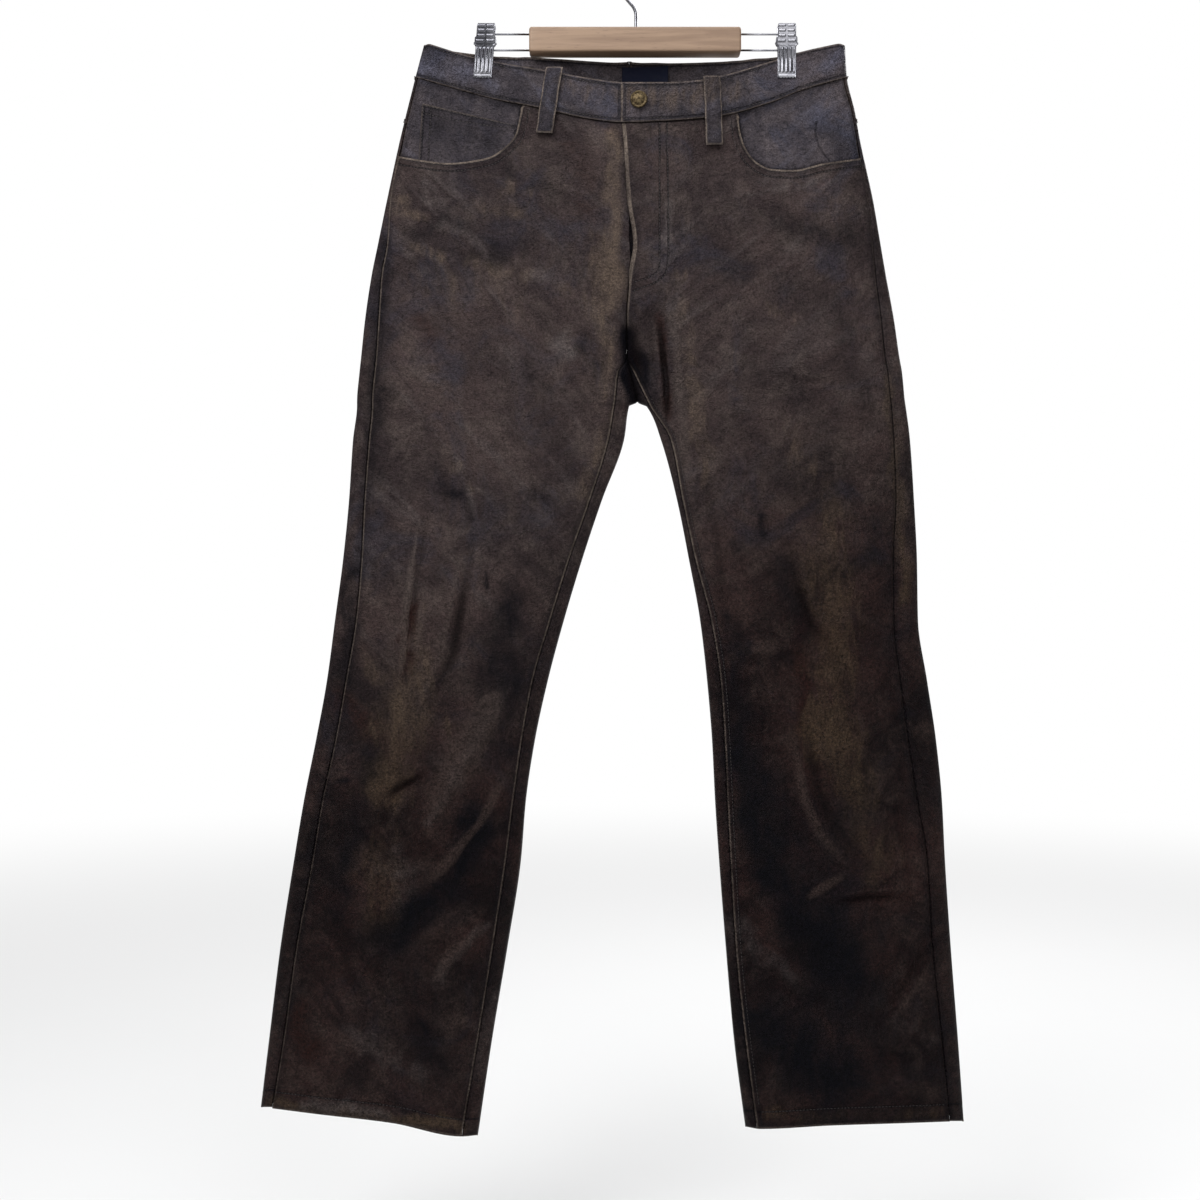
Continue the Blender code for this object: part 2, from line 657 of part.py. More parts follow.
def wire(name, points, thickness, collection, surface):
    """A round wire through points in mm, closed at both ends."""
    curve = bpy.data.curves.new(name, "CURVE")
    curve.dimensions = "3D"
    curve.bevel_depth = 0.5 * thickness * MM
    curve.bevel_resolution = 2
    curve.use_fill_caps = True
    spline = curve.splines.new("POLY")
    spline.points.add(len(points) - 1)
    for point, place in zip(spline.points, points):
        point.co = (place[0] * MM, place[1] * MM, place[2] * MM, 1.0)
    curve.materials.append(surface)
    made = bpy.data.objects.new(name, curve)
    collection.objects.link(made)
    return made


def box(name, low, high, collection, surface, bevel=0.0):
    """A block between two corners in mm, with its edges rounded over."""
    bm = bmesh.new()
    bmesh.ops.create_cube(bm, size=1.0)
    for vert in bm.verts:
        for axis in range(3):
            reach = low[axis] + (vert.co[axis] + 0.5) * (high[axis] - low[axis])
            vert.co[axis] = reach * MM
    mesh = bpy.data.meshes.new(name)
    bm.to_mesh(mesh)
    bm.free()
    made = add_object(name, mesh, collection, surface)
    if bevel:
        rounding = made.modifiers.new("Rounded edges", "BEVEL")
        rounding.width = bevel * MM
        rounding.segments = 2
    return made


# ---------------------------------------------------------------- the hanger
HOOK_WIRE = 3.2
HOOK_RADIUS = 22.0         # to the middle of the wire
STEM_FOOT, STEM_TOP, STEM_BEND = 73.0, 60.0, 16.0
BAR_LOW = (-106.5, -11.0, -98.8)
BAR_HIGH = (104.5, 11.0, -74.0)
ARM_WIRE = 2.0
ARM_HEIGHTS = (-78.4, -94.4)
ARM_GAP = 0.3
CLIP_WIDTH = 18.0
CLIP_PLATE = 1.2
CLIP_GAP = 0.45            # between a plate and the band it grips
CLIP_COLUMNS = ("down", "off")
CLIP_PROFILE = ((121.0, 0.0), (118.0, 0.0), (104.0, 0.0), (92.0, 1.6), (84.0, 3.2), (76.0, 4.6),
                (67.0, 5.4))
CLIP_LEANS = (("right", -1.0, 0.07), ("left", 1.0, 0.0))
PIN_PLACE = (3.4, -86.4)
PIN_PAST = 2.5             # how far a pin shows past its clip
PIN_WIRE = 2.4


def hook_path():
    """The hook's middle line: a stem, a bend to the side, then most of a circle."""
    stem = [(0.0, 0.0, -STEM_FOOT), (0.0, 0.0, -STEM_TOP)]
    turns = np.radians(np.linspace(0, 45, 5))[1:]
    bend = [(-STEM_BEND * (1 - math.cos(a)), 0.0, -STEM_TOP + STEM_BEND * math.sin(a))
            for a in turns]
    middle = HOOK_RADIUS - 0.5 * HOOK_WIRE
    around = np.radians(np.linspace(222, -48, 25))
    ring = [(HOOK_RADIUS * math.cos(a), 0.0, -middle + HOOK_RADIUS * math.sin(a))
            for a in around]
    return stem + bend + ring


def arm_path(way):
    """A wire arm: out of the bar, round inside the clip and back to the bar."""
    start = BAR_HIGH[0] + ARM_GAP if way > 0 else BAR_LOW[0] - ARM_GAP
    radius = 0.5 * (ARM_HEIGHTS[0] - ARM_HEIGHTS[1])
    turn_x = way * (CLIP_X - radius)
    middle = 0.5 * (ARM_HEIGHTS[0] + ARM_HEIGHTS[1])
    turns = np.radians(np.linspace(90, -90, 9))
    ends = [(turn_x + way * radius * math.cos(a), 0.0, middle + radius * math.sin(a))
            for a in turns]
    return [(start, 0.0, ARM_HEIGHTS[0])] + ends + [(start, 0.0, ARM_HEIGHTS[1])]


def clip_plate(name, middle_x, face, lean, collection, surface):
    """A sprung plate: its jaw lies on the band and its thumb end stands off above."""
    profile_down = np.array(column(CLIP_PROFILE, CLIP_COLUMNS, "down"))
    profile_off = PINCH + CLIP_GAP + np.array(column(CLIP_PROFILE, CLIP_COLUMNS, "off"))
    across = CLIP_WIDTH * np.array((-0.5, -0.25, 0.0, 0.25, 0.5))
    lean_x = -lean * (profile_down + PIN_PLACE[1])
    x = middle_x + lean_x[:, None] + across
    sign = -1.0 if face == "front" else 1.0
    y = sign * profile_off[:, None] + np.zeros(5)
    z = -profile_down[:, None] + np.zeros(5)
    grid = np.stack((x, y, z), axis=-1)
    return cloth_piece(name, [grid], CLIP_PLATE, face == "back", collection, surface,
                       outside=True)


def button(collection, surface):
    """A domed jeans button: a turned profile standing on the waistband."""
    radius = 8.5
    profile = ((0.0, 4.2), (2.6, 4.0), (5.2, 3.3), (6.2, 2.9), (7.4, 3.2), (8.3, 2.6),
               (radius, 1.6), (8.0, 0.6), (6.0, 0.0), (0.0, 0.0))
    mesh = bpy.data.meshes.new("button")
    points = [(r * MM, 0.0, h * MM) for r, h in profile]
    mesh.from_pydata(points, [(i, i + 1) for i in range(len(points) - 1)], [])
    made = add_object("button", mesh, collection, surface)
    turned = made.modifiers.new("Turned", "SCREW")
    turned.steps = 24
    turned.render_steps = 24
    turned.use_merge_vertices = True
    turned.merge_threshold = 0.00005
    place = on_cloth("left", "front", *BUTTON_PLACE) * MM
    made.location = (place[0], place[1] - BUTTON_LIFT * MM, place[2])
    made.rotation_euler = (math.radians(90), 0.0, 0.0)
    return made


# ---------------------------------------------------------------- putting it together
def build():
    for leftover in list(bpy.data.objects):
        bpy.data.objects.remove(leftover, do_unlink=True)
    whole = bpy.data.collections.new("leather_trousers_on_clip_hanger")
    bpy.context.scene.collection.children.link(whole)

    leather = material("leather", LEATHER, 0.5)
    trim = material("grey_leather", LEATHER_GREY, 0.5)
    wood = material("beech", WOOD, 0.55)
    chrome = material("chrome", CHROME, 0.18, 1.0)
    brass = material("aged_brass", BRASS, 0.4, 1.0)
    navy = material("woven_label", NAVY, 0.85)

    for side in ("right", "left"):
        turned = side == "left"
        cloth_piece("front_" + side, [front_panel(side)], HIDE, turned, whole, leather)
        cloth_piece("back_" + side, back_panel(side), HIDE, turned, whole, leather)
        cloth_piece("yoke_" + side, [yoke(side)], HIDE, turned, whole, leather)
        cloth_piece("waistband_" + side, [waistband(side)], BAND_THICKNESS, turned, whole, trim)
        cloth_piece("pocket_facing_" + side, [pocket_facing(side)], FACING_THICKNESS, turned,
                    whole, trim)
        cloth_piece("back_pocket_" + side, [back_pocket(side)], PATCH_THICKNESS,
                    side == "right", whole, leather, outside=True)
    cloth_piece("coin_pocket", [coin_pocket()], FACING_THICKNESS, True, whole, trim,
                outside=True)
    cloth_piece("fly_shield", [fly_shield()], FACING_THICKNESS, True, whole, leather)

    for row in LOOPS:
        loop = dict(zip(LOOP_COLUMNS, row))
        strap = belt_loop(loop["side"], loop["face"], loop["top_x"], loop["top_down"],
                          loop["foot_x"], loop["foot_down"])
        cloth_piece("belt_loop_" + loop["name"], [strap], LOOP_THICKNESS,
                    loop["face"] == "front", whole, trim, outside=True)
    cloth_piece("label", [label()], LABEL_THICKNESS, True, whole, navy, outside=True)
    button(whole, brass)

    box("hanger_bar", BAR_LOW, BAR_HIGH, whole, wood, bevel=1.2)
    wire("hanger_hook", hook_path(), HOOK_WIRE, whole, chrome)
    for side, way, lean in CLIP_LEANS:
        wire("hanger_arm_" + side, arm_path(way), ARM_WIRE, whole, chrome)
        for face in ("front", "back"):
            clip_plate("clip_{}_{}".format(side, face), way * CLIP_X, face, lean, whole, chrome)
        reach = 0.5 * CLIP_WIDTH + PIN_PAST
        ends = [(way * CLIP_X - reach, *PIN_PLACE), (way * CLIP_X + reach, *PIN_PLACE)]
        wire("clip_{}_pin".format(side), ends, PIN_WIRE, whole, chrome)


build()
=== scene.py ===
"""Worn leather five-pocket trousers hanging by the waistband from a wooden clip hanger.

Lengths are in millimetres until a mesh is made, and the meshes are in metres. The cloth is
described by two numbers at each place, `x` across and `down` below the inner top of the hook, and
by its depth in front of or behind the middle plane. +X is the wearer's left, -Y the front.
"""

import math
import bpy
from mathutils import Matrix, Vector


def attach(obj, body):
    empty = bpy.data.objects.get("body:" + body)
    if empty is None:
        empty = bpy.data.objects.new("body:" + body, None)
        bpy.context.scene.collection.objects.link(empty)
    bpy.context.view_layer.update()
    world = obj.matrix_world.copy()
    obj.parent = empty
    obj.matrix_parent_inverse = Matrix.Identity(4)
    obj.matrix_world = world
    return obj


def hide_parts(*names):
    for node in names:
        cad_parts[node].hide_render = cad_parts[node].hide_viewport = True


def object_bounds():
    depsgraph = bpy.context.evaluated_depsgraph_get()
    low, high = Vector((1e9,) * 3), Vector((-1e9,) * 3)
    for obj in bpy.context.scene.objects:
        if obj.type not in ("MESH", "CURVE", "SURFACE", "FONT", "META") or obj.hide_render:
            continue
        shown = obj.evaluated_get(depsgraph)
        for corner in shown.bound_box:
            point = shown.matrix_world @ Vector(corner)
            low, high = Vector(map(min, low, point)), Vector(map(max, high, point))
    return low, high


bl_info = {
    "name": "Leather Trousers on a Clip Hanger",
    "version": (1, 0, 0),
    "blender": (4, 5, 0),
    "location": "View3D > Sidebar > Trousers",
    "description": "Builds worn leather trousers hanging from a wooden hanger with two clips",
    "category": "Add Mesh",
}

from functools import reduce

import bmesh
import bpy
import numpy as np

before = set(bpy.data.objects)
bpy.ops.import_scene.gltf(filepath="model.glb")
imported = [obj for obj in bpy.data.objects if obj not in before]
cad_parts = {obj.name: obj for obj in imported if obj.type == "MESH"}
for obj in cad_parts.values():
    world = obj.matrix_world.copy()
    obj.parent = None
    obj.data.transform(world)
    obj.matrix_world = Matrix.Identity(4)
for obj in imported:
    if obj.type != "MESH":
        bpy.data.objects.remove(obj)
CAD_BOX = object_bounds()

MM = 0.001
SIDES = ("right", "left")

# ---------------------------------------------------------------- sizes of the garment, in mm
HIDE = 1.6                 # one layer of leather
BAND_THICKNESS = 3.0
FACING_THICKNESS = 1.2
PATCH_THICKNESS = 1.4
LOOP_THICKNESS = 2.4
LOOP_WIDTH = 15.5
LABEL_THICKNESS = 0.8
SEAM = 0.05                # half the gap between two pieces sewn edge to edge
UNDER = 0.5                # space over a piece that lies beneath another

SIGHT = 1600.0             # the tables' lengths are as they look from this far in front
SIGHT_X, SIGHT_DOWN = -36.0, 644.0

CENTRE_X, FLY_X = -6.0, -13.5
FORK_TOP, FORK = 344.0, 402.0            # the front starts to divide, and the inseams meet
CROTCH, CROTCH_TURN = 446.0, 449.0       # the seat seam ends, and the legs' inner edges start
HEM_LEVEL, HEM_TURN = 1165.0, 17.0       # the turned-up hem is this high
CORNER_TOP, CORNER_SEAM = 86.0, 121.0
HOLD_DROP = 115.0                        # the waist's pinched shape is gone this far down
LENS_POWER = 2.4                         # roundness of a section's edges

CLIP_X, CLIP_FLAT = 151.0, 14.0
PINCH = BAND_THICKNESS + 0.35
BOW = {"front": 21.0, "back": 16.0}      # how far the waist bows out between the clips
LOOP_BOW, CORNER_ROUND = 4.5, 7.0
OVERLAP, OVERLAP_REACH = 2.4, 30.0       # the left front laps over the right one at the fly
BAND_PROUD = 0.8                         # the waistband stands out from the panels below it
BAND_REACH, BAND_HIGH = 205.0, 38.5      # from the fly to a corner, and from top to seam
YOKE_SIDE, YOKE_CENTRE = 166.0, 200.0
COIN_CORNERS = ((-213.5, 147.5), (-122.5, 169.0))
COIN_WIDTH, COIN_HEIGHT = 92.0, 52.0
POCKET_TOP_WIDTH, POCKET_FOOT_WIDTH = 146.0, 126.0
POCKET_SIDE, POCKET_POINT = 148.0, 20.0
POCKET_MIDDLE, POCKET_TOP, POCKET_SLOPE = 116.0, 222.0, 8.0
POCKET_WIDTH, POCKET_HEIGHT = 136.0, 158.0
BUTTON_PLACE = (2.8, 144.0)
LABEL_X, LABEL_DOWN = (-13.5, 33.3), (101.0, 125.0)

# How far the rows of stitches lie from their edges.
SCOOP_ROW, INSEAM_ROW, BAND_ROW, END_ROW, MOUTH_ROW = 8.0, 5.0, 3.2, 3.6, 14.0
SEAM_ROWS, COIN_ROWS, POCKET_ROWS = (3.0, 9.0), (2.0, 9.0), (2.4, 9.0)

# Spacing of the points next to an edge, and the distances to lines are kept up to FAR.
EDGE_STEPS = (0.0, 0.7, 1.5, 2.6, 4.2, 6.4)
BAND_STEPS = (0.0, 0.5, 1.1, 1.9, 2.9, 4.0)
FAR = 30.0


def by_name(names, rows):
    """A table's columns as arrays, each under its name."""
    return dict(zip(names.split(), np.array(rows, float).T))


# Where the legs' lines run at each height. Above the fork, "inseam" is the front seam and
# "inner" the back seam.
SECTIONS = {
    "right": by_name("down outer outseam inseam inner", (
        (86, -212, -211, -13.5, -6), (121, -220.5, -219, -13.5, -6), (184, -236, -234, -10.5, -6),
        (244, -249, -246, -6.5, -6), (288, -258, -249, -0.5, -6), (320, -264.5, -254.5, -5.5, -6),
        (364, -271, -257.5, -9, -7), (402, -275, -260, -9, -9), (416, -276.5, -261.5, -17.5, -5.5),
        (446, -279, -264, -21, 1.5), (449, -279, -264, -21.5, -6.5), (484, -283, -267, -27.5, -12),
        (544, -287, -271.5, -46, -34), (604, -293, -274.5, -67, -54), (664, -301, -280, -85.5, -72),
        (724, -309, -290, -103, -88), (784, -320, -300.5, -114, -101),
        (844, -332, -313.5, -122.5, -110), (904, -342, -323.5, -130, -115),
        (994, -356, -340, -143.5, -129), (1084, -367, -352.5, -158, -144),
        (1182, -379, -369, -174.5, -158.5))),
    "left": by_name("down outer outseam inseam inner", (
        (86, 209, 208, -13.5, -6), (121, 211, 208.5, -13.5, -6), (156, 219, 217, -13, -6),
        (184, 224, 222, -10.5, -6), (244, 237, 232.5, -6.5, -6), (288, 244.5, 237, -0.5, -6),
        (320, 250, 239.5, -5.5, -6), (364, 258, 245, -9, -7), (402, 263.5, 249, -9, -9),
        (416, 266, 251.5, -2.5, -5.5), (446, 269, 254.5, 12, 1.5), (449, 269.5, 255, 13.5, 9.5),
        (484, 274, 257.5, 34.7, 25), (544, 278, 259.6, 46.6, 41), (604, 281, 257, 59.5, 53),
        (664, 282, 257.5, 75, 64), (724, 291, 264, 84.5, 71), (784, 300, 272, 88.8, 76),
        (844, 306, 281, 91.5, 79), (904, 309, 291, 94.5, 83), (994, 315, 296.5, 100, 90),
        (1084, 322, 306, 109.5, 98), (1176, 328.5, 315, 121.5, 110))),
}
DEPTHS = by_name("down front back", (
    (86, 20, 17), (166, 22, 21), (250, 24, 28), (350, 24, 32), (446, 22, 27), (560, 21, 23),
    (700, 20, 21), (900, 18, 18), (1180, 17, 17)))
WAIST = by_name("along front_top front_seam back_top back_seam", (
    (-1, 86, 121, 86, 121), (-0.77, 100, 134.5, 96, 133), (-0.63, 106, 142.5, 99, 137),
    (-0.39, 114, 152, 97, 135.5), (-0.15, 122.5, 163, 95, 133.5), (0, 126, 166, 93.5, 132),
    (0.2, 126, 164.5, 96, 134.5), (0.35, 124, 162, 99, 137.5), (0.46, 119, 159, 101, 139.5),
    (0.68, 104.5, 145, 99.5, 138), (0.8, 96, 134, 94, 131.5), (1, 86, 121, 86, 121)))
HEM = by_name("across right left", (
    (0, 1151, 1165), (0.25, 1158, 1167), (0.6, 1167, 1169.5), (0.93, 1180.5, 1173), (1, 1179, 1170.5)))
SCOOPS = {
    "right": (
        (-114, 150), (-117, 164), (-120, 177), (-131, 191), (-150, 202), (-188, 207), (-215, 204),
        (-239, 200)),
    "left": (
        (102, 160), (104.3, 176), (109.7, 192.4), (120.5, 206), (136, 213), (157, 214), (188, 207.3),
        (227, 202)),
}

# Largest folds: half width, height (below zero for a trough), and both ends as (x, down).
FOLDS = {
    "front": (
        (11, -6, (12, 340), (33, 470)), (20, 3, (34, 330), (60, 560)), (9, -8, (-6, 366), (2, 452)),
        (12, 3, (-219, 612), (-226, 715)), (12, -1.5, (-172, 628), (-192, 715)),
        (20, 3.5, (-139, 735), (-208, 865)), (9, -3, (-250, 842), (-212, 818)),
        (28, 3, (-170, 900), (-240, 1000)), (15, -1.8, (156, 628), (184, 684)),
        (12, -1.4, (199, 942), (268, 946)), (26, -3, (130, 955), (200, 1020)),
        (16, -3, (-85, 185), (-35, 250))),
    "back": (
        (14, -4, (-90, 400), (-210, 440)), (14, -4, (70, 400), (200, 436)),
        (16, -4, (-150, 720), (-260, 760)), (16, -4, (120, 715), (240, 745)),
        (24, 3, (-180, 880), (-300, 960)), (24, 3, (130, 900), (270, 960))),
}
# Smaller creases: half width, height, lip, and a path of (x, down). A trough has a raised lip on
# one side: -1 is the wearer's right of a path that runs down, and 0 is none.
CREASES = {
    "front": (
        (3.6, -3.6, -1, (-209, 560), (-215, 598), (-223, 655), (-227, 706), (-231, 729)),
        (5.5, -3.3, -1, (-163, 590), (-173, 641), (-183, 701), (-209, 753)),
        (5, -1.2, 0, (-243, 509), (-200, 496)), (7, -1.2, 0, (-114, 624), (-104, 675)),
        (6, -1.8, 1, (-62, 405), (-29, 451)), (3.6, -2.6, -1, (-248, 840), (-234, 831), (-212, 819)),
        (4, -1.8, 1, (-247, 852), (-254, 866), (-258, 875)),
        (5.5, 2.4, 0, (-139, 750), (-162, 796), (-185, 824), (-199, 854)),
        (5.5, 2.4, 0, (-131, 821), (-156, 867), (-179, 896), (-202, 922)),
        (6, 2, 0, (-151, 971), (-185, 997), (-202, 1028)), (4.5, 1.4, 0, (-156, 746), (-136, 739)),
        (13, -2.9, 0, (-156, 870), (-168, 916), (-202, 945), (-231, 971), (-286, 991)),
        (5, -1.8, 1, (-289, 1011), (-286, 1028), (-271, 1048)), (4, -1, 0, (-340, 1006), (-329, 1006)),
        (4, -1.2, 1, (-336, 1011), (-323, 1034)), (7, -1.4, 1, (-233, 1061), (-190, 1083)),
        (6, -1.2, 0, (-330, 1090), (-300, 1102)),
        (8, -2.4, 0, (49, 379), (55, 450), (65, 501), (83, 602), (86, 653), (89, 744)),
        (3.5, -1, 1, (75, 380), (111, 385)), (3.5, -1.4, 1, (139, 420), (169, 426), (197, 427)),
        (3.5, -1.2, -1, (81, 461), (106, 465), (129, 466)), (3.5, -0.9, 0, (106, 483), (126, 490)),
        (3.5, -0.9, 0, (154, 398), (177, 404)), (3.5, -0.9, 1, (163, 375), (181, 364)),
        (4, -1, 0, (225, 609), (245, 627)),
        (4.6, -2.8, 1, (154, 592), (160, 627), (168, 649), (178, 673), (196, 690)),
        (7.5, -3.2, -1, (169, 761), (174, 793), (183, 839), (197, 870), (226, 905)),
        (4, -1.6, -1, (261, 847), (269, 887), (275, 945)),
        (3.2, -3, 1, (192, 947), (226, 942), (274, 939)),
        (5.5, 2.2, 0, (209, 919), (180, 936), (169, 945)),
        (5.5, -2.4, 1, (292, 988), (272, 1025), (255, 1048), (238, 1068)),
        (5, -1.6, 1, (232, 1094), (261, 1103), (292, 1103)),
        (7, -1.8, 1, (128, 1010), (160, 1040), (196, 1052)),
        (3, -4.6, -1, (24, 370), (30, 425), (31, 464)), (5, 1.5, 0, (-85, 199), (-42, 237)),
        (7, -1.5, 0, (-104, 212), (-74, 240), (-50, 272)), (4, 1.2, 0, (235, 317), (218, 351)),
        (6, -0.9, 0, (116, 254), (159, 236)), (9, -1.2, 0, (-230, 282), (-170, 300), (-120, 296))),
    "back": (
        (7, -2.6, 1, (-30, 430), (-90, 452), (-160, 462)),
        (6, -1.8, 1, (-60, 470), (-130, 486), (-190, 488)),
        (7, -2.4, -1, (20, 436), (80, 458), (150, 462)),
        (6, -1.6, -1, (60, 478), (120, 488), (170, 484)),
        (7, -2.8, 1, (-120, 690), (-190, 704), (-262, 694)),
        (6.5, -2.4, -1, (-140, 742), (-205, 762), (-280, 752)),
        (5.5, -1.6, 0, (-170, 796), (-230, 806)), (7, -2.8, -1, (98, 684), (160, 702), (240, 690)),
        (6.5, -2.2, 1, (110, 738), (170, 752), (252, 738)), (5.5, -1.6, 0, (150, 800), (214, 790)),
        (8, -2.6, 1, (-200, 900), (-236, 948), (-290, 980)),
        (7, -1.8, 0, (-220, 1040), (-276, 1066), (-320, 1062)),
        (8, -2.6, -1, (132, 900), (176, 952), (240, 984)),
        (7, -1.8, 0, (150, 1048), (206, 1070), (270, 1060)), (9, -1.6, 0, (-214, 560), (-206, 640)),
        (9, -1.6, 0, (196, 556), (186, 642))),
}
# Marks by tone: stains, smears and rubbed places, with painted shade and painted highlights among them;
# half width, strength, and a path of (x, down).
TONES = ("dark", "tan", "grey", "russet")
MARKS = {
    "front": {
        "dark": (
            # Dark marks are partly smudges and partly painted shade: along troughs and creases, in broad
            # zones on the lower legs, and the nearly black shadow of the crotch at the end.
            (8, 0.42, (-194, 263), (-137, 286)), (10, 0.45, (-226, 279), (-206, 272)),
            (14, 0.38, (-166, 306), (-100, 290)), (11, 0.35, (-133, 214), (-110, 230)),
            (9, 0.25, (-92, 228), (-72, 257)), (15, 0.45, (-250, 290), (-256, 400), (-262, 520)),
            (14, 0.35, (-112, 404), (-96, 430)), (10, 0.4, (-52, 380), (-40, 420)),
            (8, 0.36, (-198, 506), (-188, 536)), (10, 0.34, (-192, 530), (-176, 534)),
            (7, 0.42, (-176, 536), (-165, 562)), (11, 0.35, (-118, 700), (-132, 800)),
            (9, 0.36, (-106, 534), (-88, 542)), (3, 0.6, (-150, 617), (-149, 631)),
            (4, 0.55, (-300, 826), (-288, 824)), (4, 0.55, (-216, 1064), (-209, 1076)),
            (13, 0.55, (-288, 620), (-290, 720)), (24, 0.55, (-126, 640), (-140, 720), (-156, 780)),
            (16, 0.5, (-262, 800), (-290, 900), (-300, 960)),
            (20, 0.6, (-160, 870), (-180, 930), (-240, 980)), (26, 0.4, (-220, 1020), (-200, 1120)),
            (8, 0.3, (112, 222), (160, 206)), (20, 0.4, (140, 262), (230, 290)),
            (24, 0.3, (90, 300), (150, 330)), (20, 0.35, (200, 350), (236, 470)),
            (6, 0.58, (126, 560), (128, 578)), (7, 0.45, (96, 585), (105, 595)),
            (13, 0.5, (98, 660), (104, 800)), (10, 0.4, (205, 716), (212, 738)),
            (75, 0.52, (170, 880), (190, 960), (220, 1150)),
            (34, 0.36, (-158, 840), (-176, 920), (-250, 975)), (16, 0.46, (146, 610), (168, 680)),
            (14, 0.35, (240, 560), (250, 700)), (22, 0.55, (110, 800), (126, 905)),
            (16, 0.55, (134, 916), (155, 939)), (16, 0.55, (150, 960), (190, 980)),
            (18, 0.5, (178, 1000), (225, 1020)), (28, 0.6, (120, 1060), (190, 1125)),
            # The last four dark marks, from (-9, 376) on, are the painted shadow in the crotch.
            (22, 0.4, (-205, 160), (-140, 185)), (7.5, 1, (-9, 376), (-8, 398)),
            (10.5, 1, (-9, 404), (-9, 414)), (8, 1, (-5, 424), (2, 448)), (7, 0.6, (6, 400), (18, 440))),
        "tan": (
            (8, 0.45, (-155, 251), (-119, 259)), (10, 0.3, (-137, 237), (-112, 235)),
            (6, 0.45, (-245, 241), (-229, 243)), (6, 0.35, (-245, 253), (-210, 261)),
            (6, 0.4, (-227, 286), (-194, 302)), (8, 0.34, (-166, 306), (-108, 318)),
            (14, 0.52, (-38, 280), (-26, 338)), (10, 0.42, (-31, 350), (-26, 392)),
            (9, 0.45, (-33, 408), (-29, 460), (-52, 540)), (14, 0.3, (-64, 334), (-43, 359)),
            (9, 0.35, (-190, 494), (-182, 510)), (9, 0.5, (-24, 178), (-20, 330)),
            (26, 0.2, (-190, 330), (-120, 350)), (4, 0.45, (-176, 508), (-166, 536)),
            (10, 0.3, (-270, 690), (-262, 720)), (27, 0.56, (-222, 725), (-240, 780), (-252, 830)),
            (9, 0.4, (-216, 650), (-214, 700)), (10, 0.25, (-186, 770), (-160, 810)),
            (26, 0.45, (-262, 900), (-254, 960)), (8, 0.8, (-364, 1148), (-300, 1156), (-180, 1170)),
            (12, 0.35, (40, 320), (56, 420), (70, 520)), (9, 0.3, (122, 345), (158, 360)),
            (28, 0.5, (184, 594), (202, 684), (192, 784)),
            (27, 0.42, (190, 770), (225, 850), (240, 905)), (8, 0.5, (252, 420), (270, 640)),
            (22, 0.25, (150, 480), (200, 560)), (9, 0.35, (130, 1160), (300, 1160)),
            (16, 0.45, (10, 142), (100, 132)), (15, 0.4, (-60, 130), (-20, 140))),
        "grey": (
            (7, 0.32, (-214, 228), (-196, 236)), (8, 0.28, (-210, 244), (-190, 252)),
            (8, 0.3, (-202, 268), (-176, 279)), (8, 0.28, (-243, 306), (-219, 314)),
            (9, 0.3, (-110, 316), (-70, 330)), (11, 0.45, (-76, 384), (-64, 398)),
            # The grey mark from (-135, 740) on this line, and both grey marks three lines down, lie on
            # raised folds of the right leg as painted highlights.
            (4.5, 0.36, (-180, 500), (-170, 530), (-161, 560)), (9, 0.35, (-135, 740), (-165, 800)),
            (10, 0.25, (-200, 800), (-170, 850)), (8, 0.35, (30, 250), (34, 290)),
            (6, 0.3, (116, 240), (176, 226)), (22, 0.3, (-245, 905), (-228, 950)),
            # These two grey marks lie on raised folds and paint highlights there.
            (8, 0.35, (-142, 752), (-205, 862)), (8, 0.4, (-152, 968), (-200, 1026)),
            (14, 0.3, (-133, 1030), (-160, 1110)), (16, 0.3, (-280, 1080), (-220, 1120)),
            (12, 0.25, (100, 860), (180, 925)), (14, 0.22, (200, 1030), (290, 1080)),
            (12, 0.42, (90, 960), (118, 985), (152, 1022)), (6, 0.25, (60, 700), (70, 620)),
            (15, 0.38, (-222, 108), (-146, 126)), (12, 0.35, (150, 114), (204, 100)),
            (9, 0.6, (-330, 1148), (-250, 1160))),
        "russet": (
            (16, 0.4, (-219, 363), (-198, 387)), (16, 0.35, (-60, 190), (-40, 290)),
            (20, 0.5, (-300, 745), (-262, 775), (-248, 800)), (10, 0.6, (-223, 650), (-230, 720)),
            (14, 0.6, (-340, 1056), (-325, 1100)), (9, 0.6, (162, 665), (170, 771)),
            (6.5, 0.5, (24, 360), (31, 460))),
    },
    "back": {
        "dark": (
            # The back's dark marks, in mirrored pairs: painted shade in the creases by the crotch and
            # behind the knees, and darker places down the seat's sides and the calves.
            (22, 0.45, (-210, 240), (-236, 420)), (22, 0.45, (196, 250), (226, 430)),
            (18, 0.55, (-30, 380), (-60, 470)), (18, 0.55, (20, 380), (52, 470)),
            (16, 0.45, (-140, 700), (-260, 720)), (16, 0.45, (110, 696), (240, 712)),
            (28, 0.5, (-160, 860), (-220, 1000)), (28, 0.5, (130, 860), (180, 1010))),
        "tan": (
            (34, 0.35, (-150, 300), (-110, 340)), (34, 0.35, (140, 290), (100, 345)),
            (26, 0.35, (-180, 560), (-190, 660)), (26, 0.35, (170, 540), (182, 650)),
            (9, 0.35, (-350, 1150), (-170, 1160)), (9, 0.35, (120, 1160), (310, 1160))),
        "grey": (
            (10, 0.25, (-60, 250), (-56, 330)), (8, 0.3, (160, 420), (120, 470))),
        "russet": (
            (22, 0.45, (-240, 800), (-260, 900)), (22, 0.45, (210, 790), (232, 900))),
    },
}
